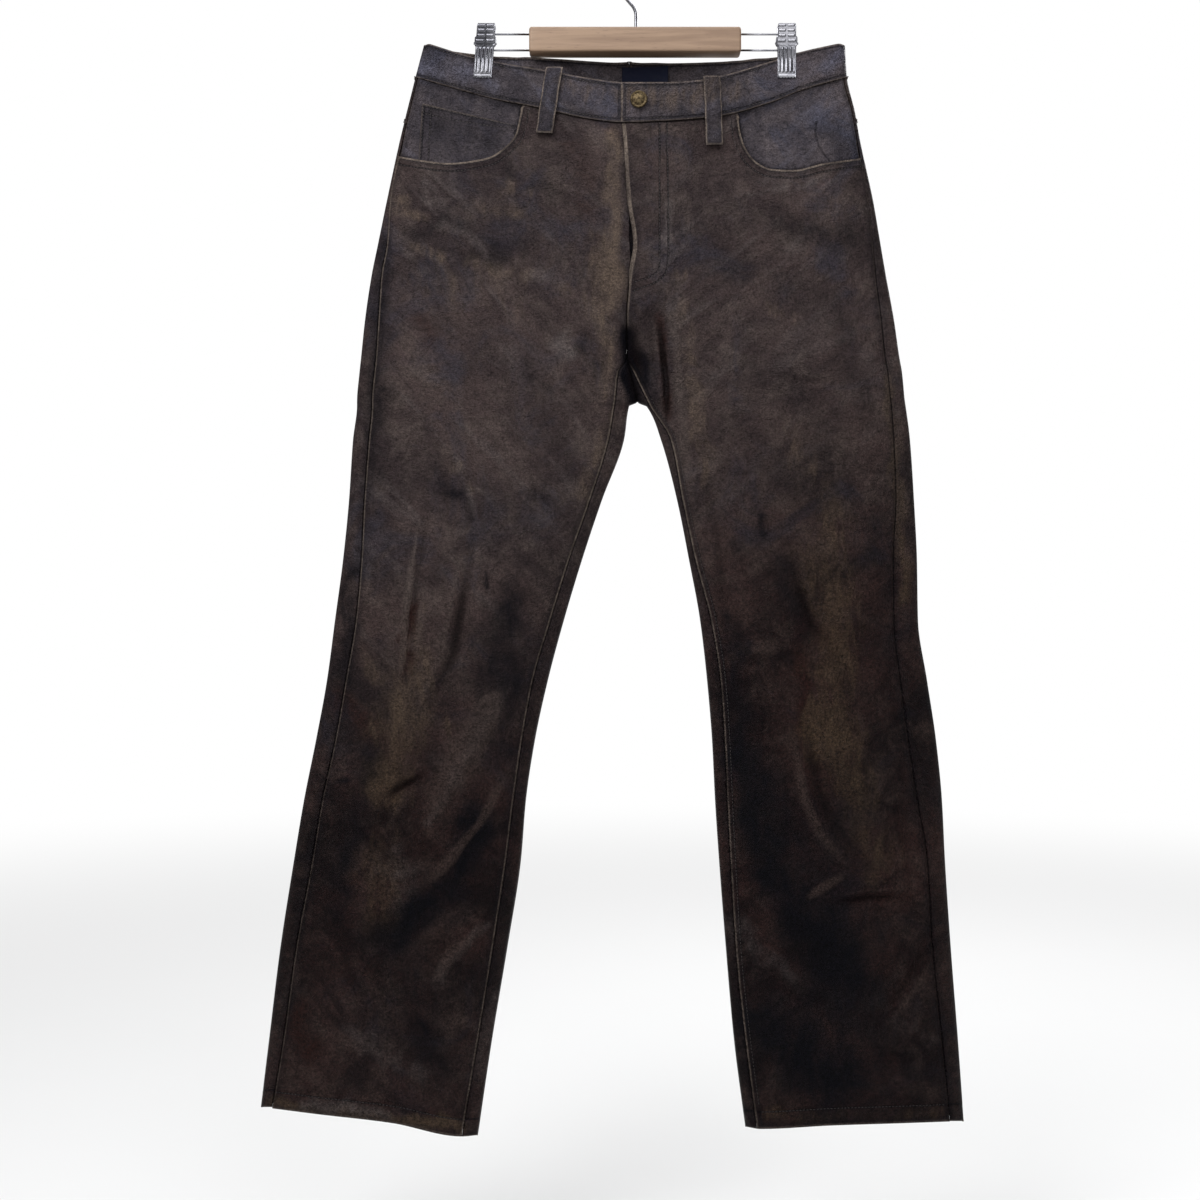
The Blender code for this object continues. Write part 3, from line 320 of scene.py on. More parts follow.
# Places where fine wrinkles gather: x, down, half width, half height, strength.
WRINKLED = {
    "front": (
        (150, 650, 40, 45, 1), (200, 800, 55, 90, 0.7), (165, 420, 60, 40, 0.7),
        (220, 270, 60, 50, 0.6), (30, 410, 22, 60, 0.7), (-200, 740, 60, 80, 0.7),
        (-190, 860, 50, 60, 0.9), (-80, 230, 50, 50, 0.6), (250, 940, 45, 30, 0.7),
        (-250, 1000, 60, 50, 0.5), (20, 130, 60, 30, 0.5), (-170, 150, 60, 35, 0.4)),
    "back": (
        (-190, 720, 90, 70, 0.9), (170, 720, 90, 70, 0.9), (-90, 450, 80, 50, 0.8),
        (80, 450, 80, 50, 0.8), (-110, 300, 70, 60, 0.4), (100, 300, 70, 60, 0.4)),
}
# Lines of top-stitching on the left front, and the short seam on the left facing.
FLY_STITCHES = (
    ((31, 166), (32.5, 291), (32, 307), (26.7, 321.5), (-3, 335)),
    ((23.7, 166), (23.7, 310), (18, 318.6), (-2, 326)),
)
FACING_SEAM = ((181, 165), (179.5, 174), (182, 186), (187, 196), (194, 204))
# Belt loops: side, face, and the middle of the top and of the foot, each as x and down.
LOOPS = {
    "front_right": ("right", "front", -81.0, 112.5, -91.0, 177.5),
    "front_left": ("left", "front", 75.0, 121.5, 77.5, 189.5),
    "back_right": ("right", "back", -104.0, 99.0, -104.0, 163.0),
    "back_left": ("left", "back", 92.0, 101.0, 92.0, 165.0),
    "back_centre": ("left", "back", 2.0, 96.0, 2.0, 160.0),
}


# ---------------------------------------------------------------- curves and fields
def smooth_through(known, values, at):
    """The value at `at` on a monotone cubic curve through the known places and values, which is
    level beyond its ends."""
    step = np.diff(known)
    slope = np.diff(values) / step
    total = slope[:-1] + slope[1:]
    turning = slope[:-1] * slope[1:] <= 0.0
    inner = np.where(turning, 0.0, 2.0 * slope[:-1] * slope[1:] / np.where(turning, 1.0, total))
    tangent = np.concatenate((slope[:1], inner, slope[-1:]))
    piece = np.clip(np.searchsorted(known, at, side="right") - 1, 0, len(step) - 1)
    t = np.clip((at - known[piece]) / step[piece], 0.0, 1.0)
    start = values[piece] * (1 + 2 * t) * (1 - t) ** 2
    end = values[piece + 1] * t ** 2 * (3 - 2 * t)
    leave = tangent[piece] * step[piece] * t * (1 - t) ** 2
    arrive = tangent[piece + 1] * step[piece] * t ** 2 * (t - 1)
    return start + end + leave + arrive


def section(side, name, down):
    """Where a named line of the leg runs at a height."""
    return smooth_through(SECTIONS[side]["down"], SECTIONS[side][name], down)


def waist_line(name, along):
    """Height of a named edge of the waistband at a place along it."""
    return smooth_through(WAIST["along"], WAIST[name], along)


def seam_line(side, x, face="front", at=CORNER_SEAM):
    """Height of the waistband's seam at x, on a half that is as wide as it is at a height."""
    return waist_line(face + "_seam", (x - FLY_X) / np.abs(section(side, "outer", at) - FLY_X))


def hem_height(side, x):
    """Height of the hem at x, by its place across the leg."""
    outer, inner = section(side, "outer", HEM_LEVEL), section(side, "inner", HEM_LEVEL)
    return smooth_through(HEM["across"], HEM[side], (x - outer) / (inner - outer))


def ramp(low, high, value):
    """0 below low, 1 above high, and a smooth step between them."""
    t = np.clip((value - low) / (high - low), 0.0, 1.0)
    return t * t * (3 - 2 * t)


def lens(across):
    """A section's depth as a fraction of its greatest, from -1 to 1 across it."""
    return np.clip(1 - np.abs(across) ** LENS_POWER, 0.0, 1.0) ** (1 / LENS_POWER)


def bell(distance, width):
    """1 at the line and falling away on both sides like a bell."""
    return np.exp(-(distance / width) ** 2)


def sideways(side):
    """+1 for the left half, -1 for the right: the way from the middle to the outseam."""
    return 1.0 if side == "left" else -1.0


def unit(vectors):
    """Vectors of length one, in the same directions."""
    return vectors / np.linalg.norm(vectors, axis=-1, keepdims=True)


def lengths_to(path):
    """The distance from a path's start to each of its points, along it."""
    return np.concatenate(((0.0,), np.cumsum(np.linalg.norm(np.diff(path, axis=0), axis=1))))


def on_curve(path, share):
    """x and down at a share of the way along the smooth curve through a path's points."""
    path = np.asarray(path, float)
    run = lengths_to(path)
    return [smooth_through(run / run[-1], part, share) for part in path.T]


def smooth_path(path, spacing):
    """The points of the smooth curve through a path, this far apart."""
    count = max(2, int(lengths_to(path)[-1] / spacing))
    return np.stack(on_curve(path, np.linspace(0, 1, count)), axis=-1)


def along_path(path, x, down):
    """Each place's distance from a path of points, its side of it, and its share along it."""
    path = np.asarray(path, float)
    run = lengths_to(path)
    near = np.full(np.broadcast(x, down).shape, 1e6)
    hand, share = np.zeros(near.shape), np.zeros(near.shape)
    for first, step, start, length in zip(path, np.diff(path, axis=0), run, np.diff(run)):
        from_x, from_down = x - first[0], down - first[1]
        t = np.clip((from_x * step[0] + from_down * step[1]) / length ** 2, 0, 1)
        off_x, off_down = from_x - t * step[0], from_down - t * step[1]
        distance = np.hypot(off_x, off_down)
        nearer = distance < near
        near = np.where(nearer, distance, near)
        hand = np.where(nearer, np.sign(off_x * step[1] - off_down * step[0]), hand)
        share = np.where(nearer, (start + t * length) / run[-1], share)
    return near, hand, share


def to_scoop(side, x, down):
    """Distance to a pocket's edge."""
    return along_path(np.stack(on_curve(SCOOPS[side], np.linspace(0, 1, 30)), -1), x, down)[0]


def scoop_path(side, inset):
    """The line that runs at a distance below a pocket's edge."""
    x, down = on_curve(SCOOPS[side], np.linspace(0, 1, 40))
    run_x, run_down = np.gradient(x), np.gradient(down)
    shift = sideways(side) * inset / np.hypot(run_x, run_down)
    return np.stack((x - shift * run_down, down + shift * run_x), axis=-1)


def spaced(count, length, steps=EDGE_STEPS):
    """Places from 0 to 1 along a length in mm, closer together at both ends."""
    ends = np.array(steps) / length
    middle = np.linspace(ends[-1], 1 - ends[-1], count - 2 * len(ends) + 2)
    return np.concatenate((ends[:-1], middle, 1 - ends[-2::-1]))


# ---------------------------------------------------------------- the form of the cloth
def fold_relief(face, x, down):
    """Height of the large folds: a bell across each fold, tapering to its ends."""
    relief = np.zeros(np.broadcast(x, down).shape)
    for width, height, *path in FOLDS[face]:
        near, _, share = along_path(path, x, down)
        relief = relief + height * (0.35 + 0.65 * np.sin(math.pi * share)) * bell(near, width)
    return relief


def crease_relief(face, x, down):
    """Height of the creases: a bell across the path with a lower one beside it, on the lip's
    side and of the other sign, both tapering to the ends."""
    relief = np.zeros(np.broadcast(x, down).shape)
    for width, height, lip, *path in CREASES[face]:
        near, hand, share = along_path(path, x, down)
        taper = np.sin(math.pi * (0.05 + 0.9 * share)) ** 0.7
        beside = 0.55 * abs(lip) * bell(near - 1.8 * width, 1.1 * width) * (hand == lip)
        relief = relief + height * taper * (bell(near, width) - beside)
    return relief


def ripples(x, down):
    """Slight unevenness of hanging leather: a few crossing waves of different lengths."""
    return (0.5 * np.sin(x / 23.0 + 1.3 * np.sin(down / 71.0))
            + 0.4 * np.sin(down / 37.0 + 1.7 * np.sin(x / 41.0))
            + 0.25 * np.sin((x + down) / 13.0 + np.sin(down / 19.0))
            + 0.2 * np.sin((x - 0.6 * down) / 9.0 + np.sin(x / 17.0)))


def waist_depth(x, outer, bow):
    """Half-depth of the waist opening: flat under the clips, bowed between them, and a narrow
    loop outside each, closed by a round fold at the corner."""
    reach = CLIP_X - CLIP_FLAT
    between = np.clip((x + reach) / (2 * reach), 0.0, 1.0)
    bowed = PINCH + bow * 0.5 * (1 - np.cos(2 * math.pi * between))
    edge = np.abs(outer)
    past_clip = np.clip((np.abs(x) - CLIP_X - CLIP_FLAT) / (edge - CLIP_X - CLIP_FLAT), 0.0, 1.0)
    looped = LOOP_BOW * np.sin(0.5 * math.pi * past_clip) ** 2
    into_round = np.clip((np.abs(x) - edge + CORNER_ROUND) / CORNER_ROUND, 0.0, 1.0)
    return (bowed + looped) * np.sqrt(1 - into_round ** 2)


def cloth_depth(side, face, x, down):
    """How far the cloth stands from the middle plane, on the front or the back, with its folds,
    creases and ripples, which fade towards the edges."""
    outer, inner = section(side, "outer", down), section(side, "inner", down)
    over_hips = lens((x - CENTRE_X) / (outer - CENTRE_X))
    over_leg = lens((2 * x - outer - inner) / (outer - inner))
    divided = ramp(FORK_TOP if face == "front" else FORK_TOP + 26, CROTCH, down)
    inside = over_hips * (1 - divided) + over_leg * divided
    below_band = down - seam_line(side, x, face, down)
    held = 1 - ramp(0.0, HOLD_DROP, below_band)
    body = smooth_through(DEPTHS["down"], DEPTHS[face], down) * inside
    depth = waist_depth(x, outer, BOW[face]) * held + body * (1 - held)
    depth = depth + fold_relief(face, x, down) * inside ** 2
    free = inside * ramp(0.0, 40.0, below_band)
    depth = depth + (crease_relief(face, x, down) + 0.55 * ripples(x, down)) * free
    if side == "left" and face == "front":
        lap = OVERLAP * bell(x - section(side, "inseam", down), OVERLAP_REACH)
        depth = depth + lap * (1 - ramp(300.0, 360.0, down))
    return depth


def placed(x, down, depth, face):
    """Points in mm from the tables' numbers, drawn in towards the line of sight."""
    scale = 1 - depth / SIGHT
    return np.stack((SIGHT_X + (x - SIGHT_X) * scale, -depth if face == "front" else depth,
                     -(SIGHT_DOWN + (down - SIGHT_DOWN) * scale)), axis=-1)


def on_cloth(side, face, x, down, raised=0.0):
    """Points on the outer face of the cloth, raised from it by a little depth."""
    x, down = np.broadcast_arrays(np.asarray(x, float), np.asarray(down, float))
    return placed(x, down, cloth_depth(side, face, x, down) + raised, face)


def moved(grid, distance, turn):
    """A grid of points moved out along its normals, which its rows and columns give."""
    normal = unit(np.cross(np.gradient(grid, axis=1), np.gradient(grid, axis=0)) * turn)
    return grid + normal * np.asarray(distance)[..., None]


# ---------------------------------------------------------------- tones and lines on the cloth
def marks_at(face, x, down):
    """Strength of each tone: every mark is a bell round its path, with a wandering edge."""
    wander_x = 4.0 * np.sin(down / 11.0 + x / 23.0) + 2.0 * np.sin(down / 4.7)
    wander_down = 4.0 * np.sin(x / 13.0 - down / 29.0) + 2.0 * np.sin(x / 5.3)
    clear = np.ones(x.shape + (len(TONES),))
    for index, tone in enumerate(TONES):
        for width, strength, *path in MARKS[face][tone]:
            wander = ramp(3.0, 12.0, width)
            near, _, _ = along_path(path, x + wander_x * wander, down + wander_down * wander)
            clear[..., index] *= 1 - strength * bell(near, width)
    return 1 - clear


def wrinkles_at(face, x, down):
    """How strongly fine wrinkles gather: the strongest of the bells round the table's places."""
    return reduce(np.maximum, [
        strength * bell(np.hypot((x - at_x) / width, (down - at_down) / height), 0.9)
        for at_x, at_down, width, height, strength in WRINKLED[face]])


def leg_tone_and_shade(x, down):
    """How dark and glossy the leather is: more so from the knee down, and sooner on the left. The
    darkening is partly the leather's colour and partly painted shade, and the left leg's earlier start is
    painted shade.
    """
    low = ramp(540.0, 900.0, down + 0.62 * np.clip(x + 150.0, 0.0, 330.0))
    return low * (1 - 0.16 * ramp(980.0, 1120.0, down) * (x < CENTRE_X))


def nearest_edge(*edges):
    """The nearest edge's distance, paleness and width, from several of them."""
    shape = np.broadcast_shapes(*(np.shape(part) for edge in edges for part in edge))
    values = np.array([[np.broadcast_to(part, shape) for part in edge] for edge in edges], float)
    return np.take_along_axis(values, np.argmin(values[:, 0], axis=0)[None, None], axis=0)[0]


def nearest(distances):
    """The least of several distances at each place."""
    return reduce(np.minimum, distances)


def leather_facts(face, x, down, edge, to_stitch, dark=0.0, tan=0.0):
    """What the leather's shader reads at each point: the tones, with the least that dark and tan
    may be, the distances to edges and stitches, how far the darkening below the knee has come,
    which is partly painted shade, how wrinkled it is, and how hollow or ridged it is, which the
    shader paints as shade and highlight."""
    x, down = np.broadcast_arrays(x, down)
    marks = marks_at(face, x, down)
    marks[..., 0] = np.maximum(marks[..., 0], dark)
    marks[..., 1] = np.maximum(marks[..., 1], tan)
    relief = crease_relief(face, x, down) + 0.6 * fold_relief(face, x, down)
    lines = (np.clip(edge[0], 0, FAR), np.clip(to_stitch, 0, FAR), edge[1], edge[2])
    # The darkening below the knee is partly painted shade; hollow and ridged become painted shade and
    # painted highlight.
    use = (leg_tone_and_shade(x, down), wrinkles_at(face, x, down), np.clip(-relief / 4.4, 0, 1),
           np.clip(relief / 1.8, 0, 1))
    return {"marks": marks, "lines": np.stack(np.broadcast_arrays(x, *lines)[1:], axis=-1),
            "use": np.stack(use, axis=-1)}


# ---------------------------------------------------------------- shaders
class Shader:
    """A material's nodes, laid out by short calls that each add a node and return its output."""

    def __init__(self, name):
        self.material = bpy.data.materials.new(name)
        self.material.use_nodes = True
        self.tree = self.material.node_tree
        self.surface = self.tree.nodes["Principled BSDF"]
        self.coords = self.add("ShaderNodeTexCoord").outputs["Object"]

    def add(self, kind, inputs=None, **settings):
        node = self.tree.nodes.new(kind)
        for key, value in settings.items():
            setattr(node, key, value)
        for key, value in (inputs or {}).items():
            self.join(value, node.inputs[key])
        return node

    def join(self, value, socket):
        """Links an output to a socket, or sets the socket to a plain value."""
        if isinstance(value, bpy.types.NodeSocket):
            self.tree.links.new(value, socket)
        else:
            socket.default_value = value

    def stretched(self, scale, place=(0.0, 0.0, 0.0), turn=0.0):
        """The object's coordinates, turned about the front-to-back axis, stretched, shifted."""
        turned = self.add("ShaderNodeMapping", {
            "Vector": self.coords, "Rotation": (0.0, turn, 0.0)}).outputs[0]
        return self.add("ShaderNodeMapping", {
            "Vector": turned, "Location": place, "Scale": scale}).outputs[0]

    def noise(self, scale, detail=4.0, roughness=0.55, distortion=0.0, vector=None):
        return self.add("ShaderNodeTexNoise", {
            "Vector": vector or self.coords, "Scale": scale, "Detail": detail,
            "Roughness": roughness, "Distortion": distortion}).outputs["Fac"]

    def cells(self, scale, feature="F1", vector=None):
        return self.add("ShaderNodeTexVoronoi", {
            "Vector": vector or self.coords, "Scale": scale}, feature=feature).outputs["Distance"]

    def math(self, operation, a, b=0.0, clamp=False):
        node = self.add("ShaderNodeMath", {0: a, 1: b}, operation=operation, use_clamp=clamp)
        return node.outputs[0]

    def plus(self, a, b):
        return self.math("ADD", a, b)

    def less(self, a, b):
        return self.math("SUBTRACT", a, b)

    def times(self, a, b):
        return self.math("MULTIPLY", a, b)

    def span(self, value, low, high, to_low=0.0, to_high=1.0):
        """The value carried from one span to another by a smooth step."""
        return self.add("ShaderNodeMapRange", {
            "Value": value, "From Min": low, "From Max": high, "To Min": to_low,
            "To Max": to_high}, interpolation_type="SMOOTHSTEP").outputs["Result"]

    def mix(self, share, a, b):
        node = self.add("ShaderNodeMix", data_type="RGBA")
        self.join(share, node.inputs[0])
        for value, socket in ((a, node.inputs[6]), (b, node.inputs[7])):
            self.join((*value, 1.0) if isinstance(value, tuple) else value, socket)
        return node.outputs[2]

    def attribute(self, name):
        """The four numbers that a mesh carries under this name."""
        node = self.add("ShaderNodeAttribute", attribute_name=name)
        parts = self.add("ShaderNodeSeparateColor", {"Color": node.outputs["Color"]})
        return [*parts.outputs, node.outputs["Alpha"]]

    def bump(self, height, strength, distance, normal=None):
        node = self.add("ShaderNodeBump", {
            "Height": height, "Strength": strength, "Distance": distance})
        if normal is not None:
            self.join(normal, node.inputs["Normal"])
        return node.outputs[0]

    def finish(self, colour, roughness, normal, **fixed):
        self.join(colour, self.surface.inputs["Base Color"])
        self.join(roughness, self.surface.inputs["Roughness"])
        if normal is not None:
            self.join(normal, self.surface.inputs["Normal"])
        for name, value in fixed.items():
            self.surface.inputs[name.replace("_", " ")].default_value = value
        return self.material


# Each tone has a darker one, "_low", for the legs from the knee down: partly the leather's darker colour
# there and partly painted shade. "hollow" is painted shade for creases and folds. "dark", "deep", "grey",
# "light" and "edge" also serve as painted shade and highlights where the shader uses them that way.
BODY_COLOURS = {
    "deep": (0.0230, 0.0160, 0.0165), "mid": (0.0455, 0.0315, 0.0300),
    "light": (0.071, 0.055, 0.049), "blue": (0.0235, 0.0225, 0.0320),
    "tan": (0.080, 0.058, 0.045), "grey": (0.090, 0.075, 0.073), "edge": (0.140, 0.112, 0.093),
    "deep_low": (0.0044, 0.0019, 0.0024), "mid_low": (0.0215, 0.0102, 0.0092),
    "light_low": (0.0420, 0.0275, 0.0240), "blue_low": (0.0070, 0.0058, 0.0090),
    "tan_low": (0.0440, 0.0280, 0.0180), "grey_low": (0.0520, 0.0410, 0.0400),
    "edge_low": (0.0900, 0.0700, 0.0600),
    "dark": (0.0022, 0.0020, 0.0036), "russet": (0.0165, 0.0058, 0.0048),
    "hollow": (0.0026, 0.0010, 0.0011),
}
TRIM_COLOURS = {
    "deep": (0.0260, 0.0225, 0.0275), "mid": (0.053, 0.0435, 0.0480),
    "light": (0.096, 0.080, 0.083), "blue": (0.038, 0.040, 0.060), "grey": (0.092, 0.092, 0.125),
}


def worn_leather(name, own_tones, grooved):
    """Waxed leather rubbed by years of wear, with painted light and shade laid into its colour.
    Noises of three sizes mottle the base colour. The piece's marks lay dark, tan, grey and russet
    tones over it with broken edges: stains and smears, with painted shade in the crotch, troughs
    and creases, and painted highlights on some folds. Hollows are painted darker as shade and
    ridges paler as highlight. Its lines give a painted shade near every edge, pale edges that are
    partly rubbed and partly a painted highlight on the rolled crest, and stitch lines darkened as
    painted shade in their grooves, as dark as `grooved` says. The legs darken and shine below the
    knee, and sooner on the left: partly the leather's colour and partly painted shade. Streaks run
    down from the fly over each hip, paler on their crests as a painted sheen and darker between as
    painted shade. The grain's speckle grows below the knee as painted glints. The bump is a pebbled
    grain, fine wrinkles that gather in the wrinkled places, the streaks, and the stitch lines'
    grooves. The sidebar's colours come before the table's."""
    settings = bpy.context.scene.trousers_leather
    picked = {tone: tuple(getattr(settings, tone)) for tone in ("mid", "tan", "edge")}
    colours = {**BODY_COLOURS, **picked, **own_tones}
    s = Shader(name)
    dark, tan, grey, russet = s.attribute("marks")
    edge, stitch, pale, wide = s.attribute("lines")
    lower, wrinkles, hollow, ridge = s.attribute("use")
    broad = s.noise(8.0, 5.0, 0.62, 0.8)
    blue = s.noise(12.0, 5.0, 0.66, 0.9, s.stretched((1.0, 1.0, 1.0), (3.1, 0.0, 1.7)))
    patchy = s.noise(34.0, 6.0, 0.68, 0.7)
    smeared = s.noise(1.0, 5.0, 0.64, 0.6, s.stretched((75.0, 75.0, 26.0)))
    fine = s.noise(150.0, 4.0, 0.65)
    speckled = s.noise(420.0, 3.0, 0.65)
    pores = s.cells(760.0)
    upper = s.less(1.0, lower)
    across = s.add("ShaderNodeSeparateXYZ", {0: s.coords}).outputs[0]
    on_left = s.math("GREATER_THAN", across, CENTRE_X * MM)
    streaks = [s.noise(1.0, 3.0, 0.5, 0.5, s.stretched((58.0, 30.0, 13.0), (place, 0.0, 0.0), turn))
               for turn, place in ((0.75, 0.0), (-0.95, 5.0))]
    draped = s.plus(s.times(streaks[0], s.less(1.0, on_left)), s.times(streaks[1], on_left))

    def toned(tone):
        return s.mix(lower, colours[tone], colours[tone + "_low"])

    colour = s.mix(s.span(broad, 0.36, 0.64), toned("deep"), toned("mid"))
    colour = s.mix(s.span(patchy, 0.40, 0.74, 0.0, 0.6), colour, toned("light"))
    colour = s.mix(s.span(blue, 0.50, 0.70, 0.0, 0.6), colour, toned("blue"))
    # The hip streaks: grey on their crests as a painted sheen, and deep between them as painted shade.
    streaks_and_sheen = s.times(s.span(draped, 0.52, 0.74, 0.0, 0.26), upper)
    colour = s.mix(streaks_and_sheen, colour, toned("grey"))
    colour = s.mix(s.span(draped, 0.48, 0.28, 0.0, 0.6), colour, toned("deep"))

    crumbled = s.plus(s.times(patchy, 0.6), s.times(smeared, 0.4))
    for weight, broken_by, tone in ((russet, patchy, colours["russet"]),
                                    (tan, smeared, toned("tan")), (grey, crumbled, toned("grey")),
                                    (dark, crumbled, colours["dark"])):
        wandering = s.less(s.times(broken_by, 1.5), 0.75)
        share = s.times(s.span(s.plus(weight, wandering), 0.08, 0.85), s.span(weight, 0.02, 0.25))
        colour = s.mix(share, colour, tone)
    # Painted shade in the hollows of creases and folds, and a painted highlight on their ridges.
    colour = s.mix(s.span(hollow, 0.10, 0.95, 0.0, 0.78), colour, colours["hollow"])
    colour = s.mix(s.span(ridge, 0.15, 1.0, 0.0, 0.6), colour, toned("light"))

    # Painted shade: the leather is darker within about 7 mm of every edge and seam.
    shade_near_edge = s.span(s.less(edge, s.times(smeared, 4.0)), 0.0, 7.0, 1.0, 0.0)
    colour = s.mix(s.times(shade_near_edge, 0.35), colour, colours["dark"])
    # Painted shade in the grooves of the stitch lines.
    colour = s.mix(s.span(stitch, 0.35, 1.35, grooved, 0.0), colour, colours["dark"])
    # Pale edges: partly rubbed wear and partly a painted highlight on the rolled crest.
    rubbed = s.times(s.span(s.math("DIVIDE", edge, wide), 0.55, 1.25, 1.0, 0.0), pale)
    rubbed = s.times(rubbed, s.span(smeared, 0.32, 0.58, 0.35, 1.0))
    colour = s.mix(rubbed, colour, toned("edge"))
    # The grain's speckle grows stronger below the knee, where its pale dots are painted glints.
    speckle_and_glints = s.times(s.less(speckled, 0.5), s.plus(lower, 1.9))
    speckle_and_glints = s.plus(speckle_and_glints, s.span(fine, 0.3, 0.7, -0.12, 0.14))
    grain = s.plus(s.plus(speckle_and_glints, 1.0), s.span(pores, 0.2, 0.7, 0.12, -0.20))
    grained = s.add("ShaderNodeVectorMath", {0: colour, 3: grain}, operation="SCALE").outputs[0]

    rough = s.less(s.span(patchy, 0.3, 0.7, 0.46, 0.60), s.times(lower, 0.18))
    rough = s.plus(rough, s.times(grey, 0.12))
    rough = s.math("ADD", rough, s.times(dark, 0.4), True)

    folded = s.noise(1.0, 5.0, 0.62, 1.2, s.stretched((60.0, 60.0, 105.0)))
    creased = s.span(s.math("ABSOLUTE", s.less(folded, 0.5)), 0.0, 0.09)
    crackled = s.cells(150.0, "DISTANCE_TO_EDGE", s.stretched((1.0, 1.0, 1.6)))
    crackled = s.times(s.span(crackled, 0.0, 0.16), wrinkles)
    pebbled = s.plus(speckled, s.times(pores, 1.4))
    normal = None
    for height, strength, distance in (
            (creased, 0.5, 0.0012), (draped, s.times(upper, 0.6), 0.006), (crackled, 0.7, 0.0011),
            (s.noise(40.0, 4.0, 0.6), 0.7, 0.0028), (s.span(stitch, 0.2, 1.6), 0.9, 0.0008),
            (fine, 0.5, 0.0010), (pebbled, s.plus(s.times(lower, 0.4), 0.6), 0.0011)):
        normal = s.bump(height, strength, distance, normal)
    return s.finish(grained, rough, normal, IOR=1.46, Specular_IOR_Level=0.07)


def waxed_thread():
    """Dark waxed thread: two colours wound together along it, and a soft twist in the bump."""
    s = Shader("dark_waxed_thread")
    twist = s.noise(1500.0, 2.0, 0.5)
    shade = s.mix(s.span(twist, 0.35, 0.65), (0.020, 0.015, 0.014), (0.034, 0.0255, 0.0238))
    return s.finish(shade, 0.7, s.bump(twist, 0.5, 0.0002))


def worn_chrome():
    """Plated wire and sheet: bright, with faint cloudy wear in its roughness."""
    s = Shader("worn_chrome")
    cloud = s.noise(60.0, 4.0, 0.6)
    scratches = s.noise(1.0, 3.0, 0.7, 0.0, s.stretched((900.0, 900.0, 60.0)))
    shade = s.mix(s.span(cloud, 0.3, 0.7), (0.115, 0.115, 0.13), (0.25, 0.25, 0.27))
    rough = s.span(s.plus(cloud, s.times(scratches, 0.3)), 0.4, 0.95, 0.20, 0.38)
    return s.finish(shade, rough, s.bump(scratches, 0.12, 0.0002), Metallic=1.0)


def aged_brass():
    """Aged brass: a fine cloud of dark and golden tones."""
    s = Shader("aged_brass")
    cloud = s.noise(330.0, 5.0, 0.65)
    shade = s.mix(s.span(cloud, 0.35, 0.65), (0.030, 0.022, 0.013), (0.125, 0.094, 0.052))
    rough = s.span(cloud, 0.3, 0.7, 0.70, 0.50)
    return s.finish(shade, rough, s.bump(s.noise(1400.0, 3.0, 0.6), 0.35, 0.0002), Metallic=1.0)


def pale_beech():
    """Pale close-grained wood: long wandering bands along the bar, short dark flecks and fine
    pores."""
    s = Shader("pale_beech")
    bands = s.noise(1.0, 4.0, 0.6, 1.1, s.stretched((5.0, 60.0, 90.0)))
    fine = s.noise(1.0, 4.0, 0.7, 0.3, s.stretched((22.0, 420.0, 520.0)))
    flecks = s.noise(1.0, 2.0, 0.5, 0.0, s.stretched((90.0, 900.0, 900.0)))
    shade = s.mix(s.span(bands, 0.35, 0.65), (0.170, 0.105, 0.065), (0.236, 0.155, 0.099))
    shade = s.mix(s.span(fine, 0.45, 0.75, 0.0, 0.45), shade, (0.145, 0.088, 0.060))
    shade = s.mix(s.span(flecks, 0.62, 0.74, 0.0, 0.6), shade, (0.100, 0.058, 0.038))
    return s.finish(shade, s.span(fine, 0.3, 0.7, 0.46, 0.60), s.bump(fine, 0.25, 0.0004))


def woven_tape():
    """Dark blue woven tape: fine crossed threads in the colour and the bump."""
    s = Shader("navy_woven_tape")
    threads = [s.add("ShaderNodeTexWave", {"Vector": s.coords, "Scale": scale, "Distortion": 0.4},
                     bands_direction=way).outputs["Fac"] for scale, way in ((620.0, "X"), (460.0, "Z"))]
    woven = s.times(*threads)
    shade = s.mix(woven, (0.003, 0.004, 0.012), (0.013, 0.016, 0.036))
    shade = s.mix(s.span(s.noise(90.0, 4.0), 0.5, 0.8, 0.0, 0.3), shade, (0.03, 0.03, 0.036))
    return s.finish(shade, 0.85, s.bump(woven, 0.5, 0.0003), Specular_IOR_Level=0.15)


FINISHES = {
    "leather": lambda: worn_leather("worn_leather", {}, 0.75),
    "trim_leather": lambda: worn_leather("worn_trim_leather", TRIM_COLOURS, 0.6),
    "thread": waxed_thread,
    "chromed_wire": worn_chrome,
    "button_brass": aged_brass,
    "bar_wood": pale_beech,
    "label_cloth": woven_tape,
}
SURFACES = {}


def surface(finish):
    """A material by its finish, made when it is first asked for."""
    if finish not in SURFACES:
        SURFACES[finish] = FINISHES[finish]()
    return SURFACES[finish]


def grid_faces(rows, columns, first=0, around=False):
    """Four-sided faces of a grid, as rows of point numbers. `around` joins its last column."""
    r, c = np.meshgrid(np.arange(rows - 1), np.arange(columns if around else columns - 1),
                       indexing="ij")
    here = first + r * columns + c
    beside = first + r * columns + (c + 1) % columns
    return np.stack((here, beside, beside + columns, here + columns), axis=-1).reshape(-1, 4)


def make(name, node, slot, points, faces, finish=None):
    """An object at the origin with points in mm, carried by the one body."""
    mesh = bpy.data.meshes.new(name)
    mesh.from_pydata((np.asarray(points) * MM).tolist(), [], faces)
    mesh.materials.append(surface(finish or slot))
    made = bpy.data.objects.new(name, mesh)
    bpy.context.scene.collection.objects.link(made)
    mesh.shade_smooth()
    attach(made, "root")
    if node:
        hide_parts(node)
    return made


def add_wall(made, thickness, outside):
    """Gives a surface its thickness in mm, inwards or outwards."""
    wall = made.modifiers.new("Wall", "SOLIDIFY")
    wall.thickness = thickness * MM
    wall.offset = 1.0 if outside else -1.0


